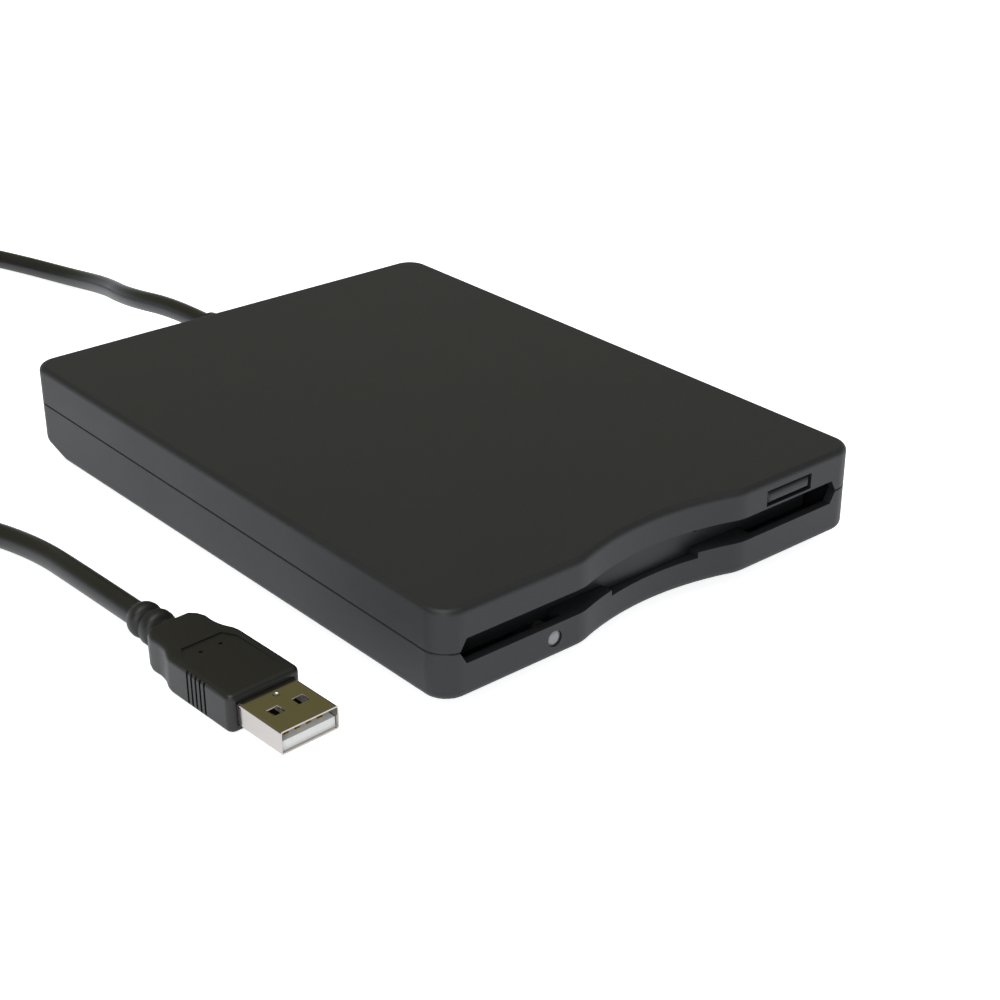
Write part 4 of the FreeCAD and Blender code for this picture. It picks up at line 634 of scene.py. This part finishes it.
tube = rounded_along(brick((0.0120, 0.0159, 0.0045), shell_middle), 0.0005, 4)
shell_cutters = [rounded_along(brick((0.0114, 0.0200, 0.0039), shell_middle), 0.00025, 3)]
for across in (-hole_across, hole_across):
    shell_cutters.append(brick((hole_side, hole_side, 0.0100), (across, hole_along, 0.0)))
dimple = bmesh.new()
bmesh.ops.create_uvsphere(dimple, u_segments=20, v_segments=12, radius=0.0011)
bmesh.ops.translate(dimple, verts=dimple.verts, vec=(0.0004, -0.0024, 0.00314))
shell_cutters.append(dimple)
tube = carved(tube, shell_cutters)
rim_reach = hole_side / 2 + 0.00002
hole_rims = [edge for edge in tube.edges
             if all(abs(abs(vert.co.z) - 0.00225) < 1e-6 and abs(vert.co.y - hole_along) < rim_reach
                    and abs(abs(vert.co.x) - hole_across) < rim_reach for vert in edge.verts)]
chamfer(tube, hole_rims, 0.00012, 2)
shell_piece = piece_from(on_plug(tube), "plug_tube", nickel, "case", "plug_steel", "plug_shell")
white_resin = plastic("white_resin", (0.78, 0.79, 0.75), 0.35, 0.0004, 0.00001, clouds=0.03)
dress("plug_tongue", white_resin)
gold = metal("gold_plate", (0.86, 0.62, 0.22), 0.2, 600.0, variation=0.06)
dress("plug_contacts", gold)


# Lead: round vinyl-jacketed cable, 4.8 mm across and about 0.73 m long, moulded into the strain
# relief at the rear and into the plug. Its unseen length lies in a flat coil beyond the view.
lead_across = 0.0048
on_table = lead_across / 2
coil_middle = Vector((-0.0540, 0.1843))
coil_outside = 0.0287
coil_step = 0.0054
coil_turns = 2.25
rear_route = [
    (0.0, 0.0835, 0.0125),
    (0.0, 0.0980, 0.0125),
    (-0.0018, 0.1190, 0.0098),
    (0.0036, 0.1400, 0.0056),
    (0.0036, 0.1590, 0.0026),
    (-0.0012, 0.1770, on_table),
    (-0.0072, 0.1936, on_table),
    (-0.0176, 0.2063, on_table),
    (-0.0332, 0.2130, on_table),
]
front_route = [
    (-0.0827, 0.1640, on_table + coil_step),
    (-0.0846, 0.1460, 0.0050),
    (-0.0880, 0.1220, on_table),
    (-0.0904, 0.0960, on_table),
    (-0.0896, 0.0700, on_table),
    (-0.0832, 0.0460, on_table),
    (-0.0764, 0.0270, on_table),
    (-0.076373, 0.0060, 0.0038),
    (-0.075505, -0.011747, 0.0038),
]


def coil_place(turn):
    """The middle of the lead after a number of turns: inwards, up one layer, and out again."""
    half = coil_turns / 2
    radius = coil_outside - coil_step * (half - abs(turn - half))
    climb = min(max((turn - half) / 0.5 + 0.5, 0.0), 1.0)
    height = on_table + coil_step * climb * climb * (3 - 2 * climb)
    angle = math.pi / 2 + 2 * math.pi * turn
    return (coil_middle.x + radius * math.cos(angle), coil_middle.y + radius * math.sin(angle), height)


points_per_turn = 16
coil_route = [coil_place(step / points_per_turn) for step in range(1 + round(coil_turns * points_per_turn))]
lead_route = rear_route + coil_route + front_route
lead = round_wire("lead", lead_route, lead_across, jacket_vinyl, 6, 8)
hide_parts("lead_rear", "lead_coil", "lead_front")
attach(lead, "case")


# Tie: a flat springy clip that reaches over the coil's two layers at its right side and stands
# on the table, with rounded edges.
tie_vinyl = plastic("tie_vinyl", (0.014, 0.014, 0.015), 0.5, 0.0003, 0.00004)
tie = copy_of("lead_tie")
tie_edges = [edge for edge in tie.edges if abs(edge.verts[0].co.y - edge.verts[1].co.y) > 0.0045]
chamfer(tie, tie_edges, 0.0007, 4)
tie_piece = piece_from(tie, "coil_tie", tie_vinyl, "case", "tie", "lead_tie")


# Dust door, eject button and busy light: the door is a smooth dark flap, the button a satin
# cap with a crowned face, and the light a grey translucent dome over its lamp.
door_plastic = plastic("door_plastic", (0.010, 0.0105, 0.0115), 0.42, 0.0005, 0.00002, specular=0.4)
door = copy_of("dust_door")
piece_from(door, "door_flap", door_plastic, "door", "door_plastic", "dust_door")
button_plastic = plastic("button_plastic", (0.009, 0.0095, 0.0105), 0.42, 0.0005, 0.00002, specular=0.4)
button = copy_of("eject_button")
button_face = -0.071
crown = [edge for edge in button.edges if all(vert.co.y < button_face + 1e-5 for vert in edge.verts)]
chamfer(button, crown, 0.0011, 5)
piece_from(button, "button_cap", button_plastic, "eject", "button_plastic", "eject_button")
lens_resin = plastic("lens_resin", (0.225, 0.225, 0.235), 0.16, 0.0008, 0.00001, specular=0.7, clouds=0.2)
dress("led_lens", lens_resin)
# The LED body's near-black colour is painted shade: it makes the body read as the dark inside of the slot.
led_resin_painted_shade = plastic("led_resin_painted_shade", (0.03, 0.03, 0.03), 0.2, 0.0008, 0.00001)
dress("led_body", led_resin_painted_shade)


# Screws: small nickel-plated pan heads with rounded rims and a cross recess, two in the covers'
# rear, two in the interface board and four that hold the drive frame from below.
screw_nickel = metal("screw_nickel", (0.62, 0.61, 0.60), 0.26, 700.0, variation=0.1)
cross_long = 0.0022
cross_wide = 0.0006
cross_deep = 0.0012
for group_name, up in (("case_screws", -1), ("board_screws", 1), ("drive_screws", -1)):
    screws = copy_of(group_name)
    tops = [face for face in screws.faces if face.normal.z * up > 0.99]
    face_sizes = [face.calc_area() for face in tops]
    heads = [face for face, area in zip(tops, face_sizes) if area > max(face_sizes) * 0.9]
    crosses = []
    for head in heads:
        middle = head.calc_center_median()
        crosses += [brick((cross_long, cross_wide, cross_deep), middle),
                    brick((cross_wide, cross_long, cross_deep), middle)]
    rims = [edge for head in heads for edge in head.edges]
    chamfer(screws, rims, 0.00035, 3)
    screws = carved(screws, crosses)
    piece_from(screws, group_name + "_heads", screw_nickel, "case", "screw_steel", group_name)
